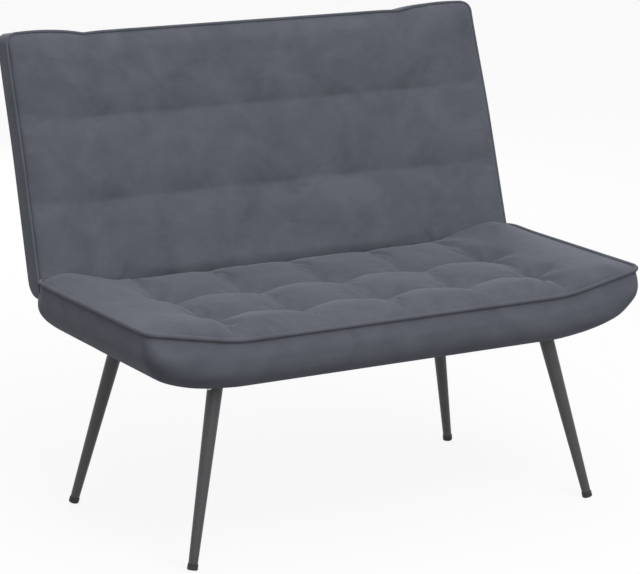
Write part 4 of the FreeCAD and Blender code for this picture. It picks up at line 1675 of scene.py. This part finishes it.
@dataclass(frozen=True)
class Studio:
    """Pale floor, soft light and the camera."""

    floor_half: float = 30.0
    floor_bounce: float = 0.19
    floor_tone: float = 0.90
    floor_glow: float = 0.85
    ambient: float = 0.72
    lamp_target: Place = (0.0, 0.0, 0.45)
    lamps: tuple[Lamp, ...] = (
        Lamp("key", place=(-0.4, -3.2, 3.0), side=3.0, power=92.0),
        Lamp("top", place=(-0.2, 0.2, 3.8), side=2.8, power=4.0),
        Lamp("rear", place=(0.6, 3.6, 2.0), side=3.0, power=34.0),
    )

    @staticmethod
    def _looked_at(tree: bpy.types.NodeTree) -> bpy.types.NodeSocket:
        """Tells rays that look at a surface from those that only gather its light.

        Args:
            tree: the node board.

        Returns:
            1 for a ray from the camera, or on from a gloss or a clear piece, else 0.
        """
        path = tree.nodes.new("ShaderNodeLightPath")
        seen = path.outputs["Is Camera Ray"]
        for ray in ("Is Glossy Ray", "Is Transmission Ray"):
            either = tree.nodes.new("ShaderNodeMath")
            either.operation = "MAXIMUM"
            tree.links.new(seen, either.inputs[0])
            tree.links.new(path.outputs[ray], either.inputs[1])
            seen = either.outputs[0]
        return seen

    @staticmethod
    def _end(tree: bpy.types.NodeTree, share: bpy.types.NodeSocket, low: bpy.types.Node,
             high: bpy.types.Node, output: str) -> None:
        """Ends a board in a mix of two shaders.

        Args:
            tree: the node board.
            share: how much of the second shader is mixed in.
            low: the first shader.
            high: the second shader.
            output: type of the board's output node.
        """
        blend = tree.nodes.new("ShaderNodeMixShader")
        out = tree.nodes.new(output)
        tree.links.new(share, blend.inputs[0])
        tree.links.new(low.outputs[0], blend.inputs[1])
        tree.links.new(high.outputs[0], blend.inputs[2])
        tree.links.new(blend.outputs[0], out.inputs["Surface"])

    def sky(self) -> None:
        """A white surround that lights the bench softly."""
        world = bpy.data.worlds.new("studio")
        bpy.context.scene.world = world
        world.use_nodes = True
        tree = world.node_tree
        tree.nodes.clear()
        lit = tree.nodes.new("ShaderNodeBackground")
        lit.inputs["Strength"].default_value = self.ambient
        seen = tree.nodes.new("ShaderNodeBackground")
        for background in (lit, seen):
            background.inputs["Color"].default_value = (1.0, 1.0, 1.0, 1.0)
        self._end(tree, self._looked_at(tree), lit, seen, "ShaderNodeOutputWorld")

    def floor(self) -> None:
        """A pale floor that shows almost white to the camera and keeps a soft shadow."""
        shape = bmesh.new()
        bmesh.ops.create_grid(shape, x_segments=1, y_segments=1, size=self.floor_half)
        floor = make_piece("floor", shape)
        material = bpy.data.materials.new("pale_floor")
        material.use_nodes = True
        tree = material.node_tree
        tree.nodes.clear()
        matt = tree.nodes.new("ShaderNodeBsdfDiffuse")
        glow = tree.nodes.new("ShaderNodeEmission")
        seen = self._looked_at(tree)
        tone = tree.nodes.new("ShaderNodeMapRange")
        tone.inputs["To Min"].default_value = self.floor_bounce
        tone.inputs["To Max"].default_value = self.floor_tone
        share = tree.nodes.new("ShaderNodeMath")
        share.operation = "MULTIPLY"
        share.inputs[1].default_value = self.floor_glow
        tree.links.new(seen, tone.inputs["Value"])
        tree.links.new(tone.outputs["Result"], matt.inputs["Color"])
        tree.links.new(seen, share.inputs[0])
        self._end(tree, share.outputs[0], matt, glow, "ShaderNodeOutputMaterial")
        floor.data.materials.append(material)

    def build(self) -> None:
        """Sets up floor, surround, lamps and camera."""
        bpy.context.scene.view_settings.view_transform = "Standard"
        self.sky()
        self.floor()
        for lamp in self.lamps:
            lamp.make(Vector(self.lamp_target))
        Viewpoint().make()


def main() -> None:
    """Builds the bench's looks round its frame, in order."""
    logging.basicConfig(level=logging.INFO, format="%(message)s")
    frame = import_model()
    Studio().build()
    quilt = Quilt()
    velvet = Velvet().make()
    seat = Seat(quilt, velvet)
    back = Back(quilt, velvet)
    foam = Plain("foam", low=(0.66, 0.60, 0.44), high=(0.76, 0.70, 0.54), scale=500.0,
                 roughness=0.95, depth=0.0008)
    black = Plain("black_cloth", low=(0.016, 0.016, 0.018), high=(0.026, 0.026, 0.028), scale=800.0,
                  roughness=0.9, depth=0.0003)
    pieces = seat.build() + back.build() + Filling(seat, back, foam.make(), black.make()).build()
    for piece in pieces:
        LOG.info("%s has %d faces", piece.name, len(piece.data.polygons))
    Frame(frame["nodes"]).build()


if __name__ == "__main__":
    main()
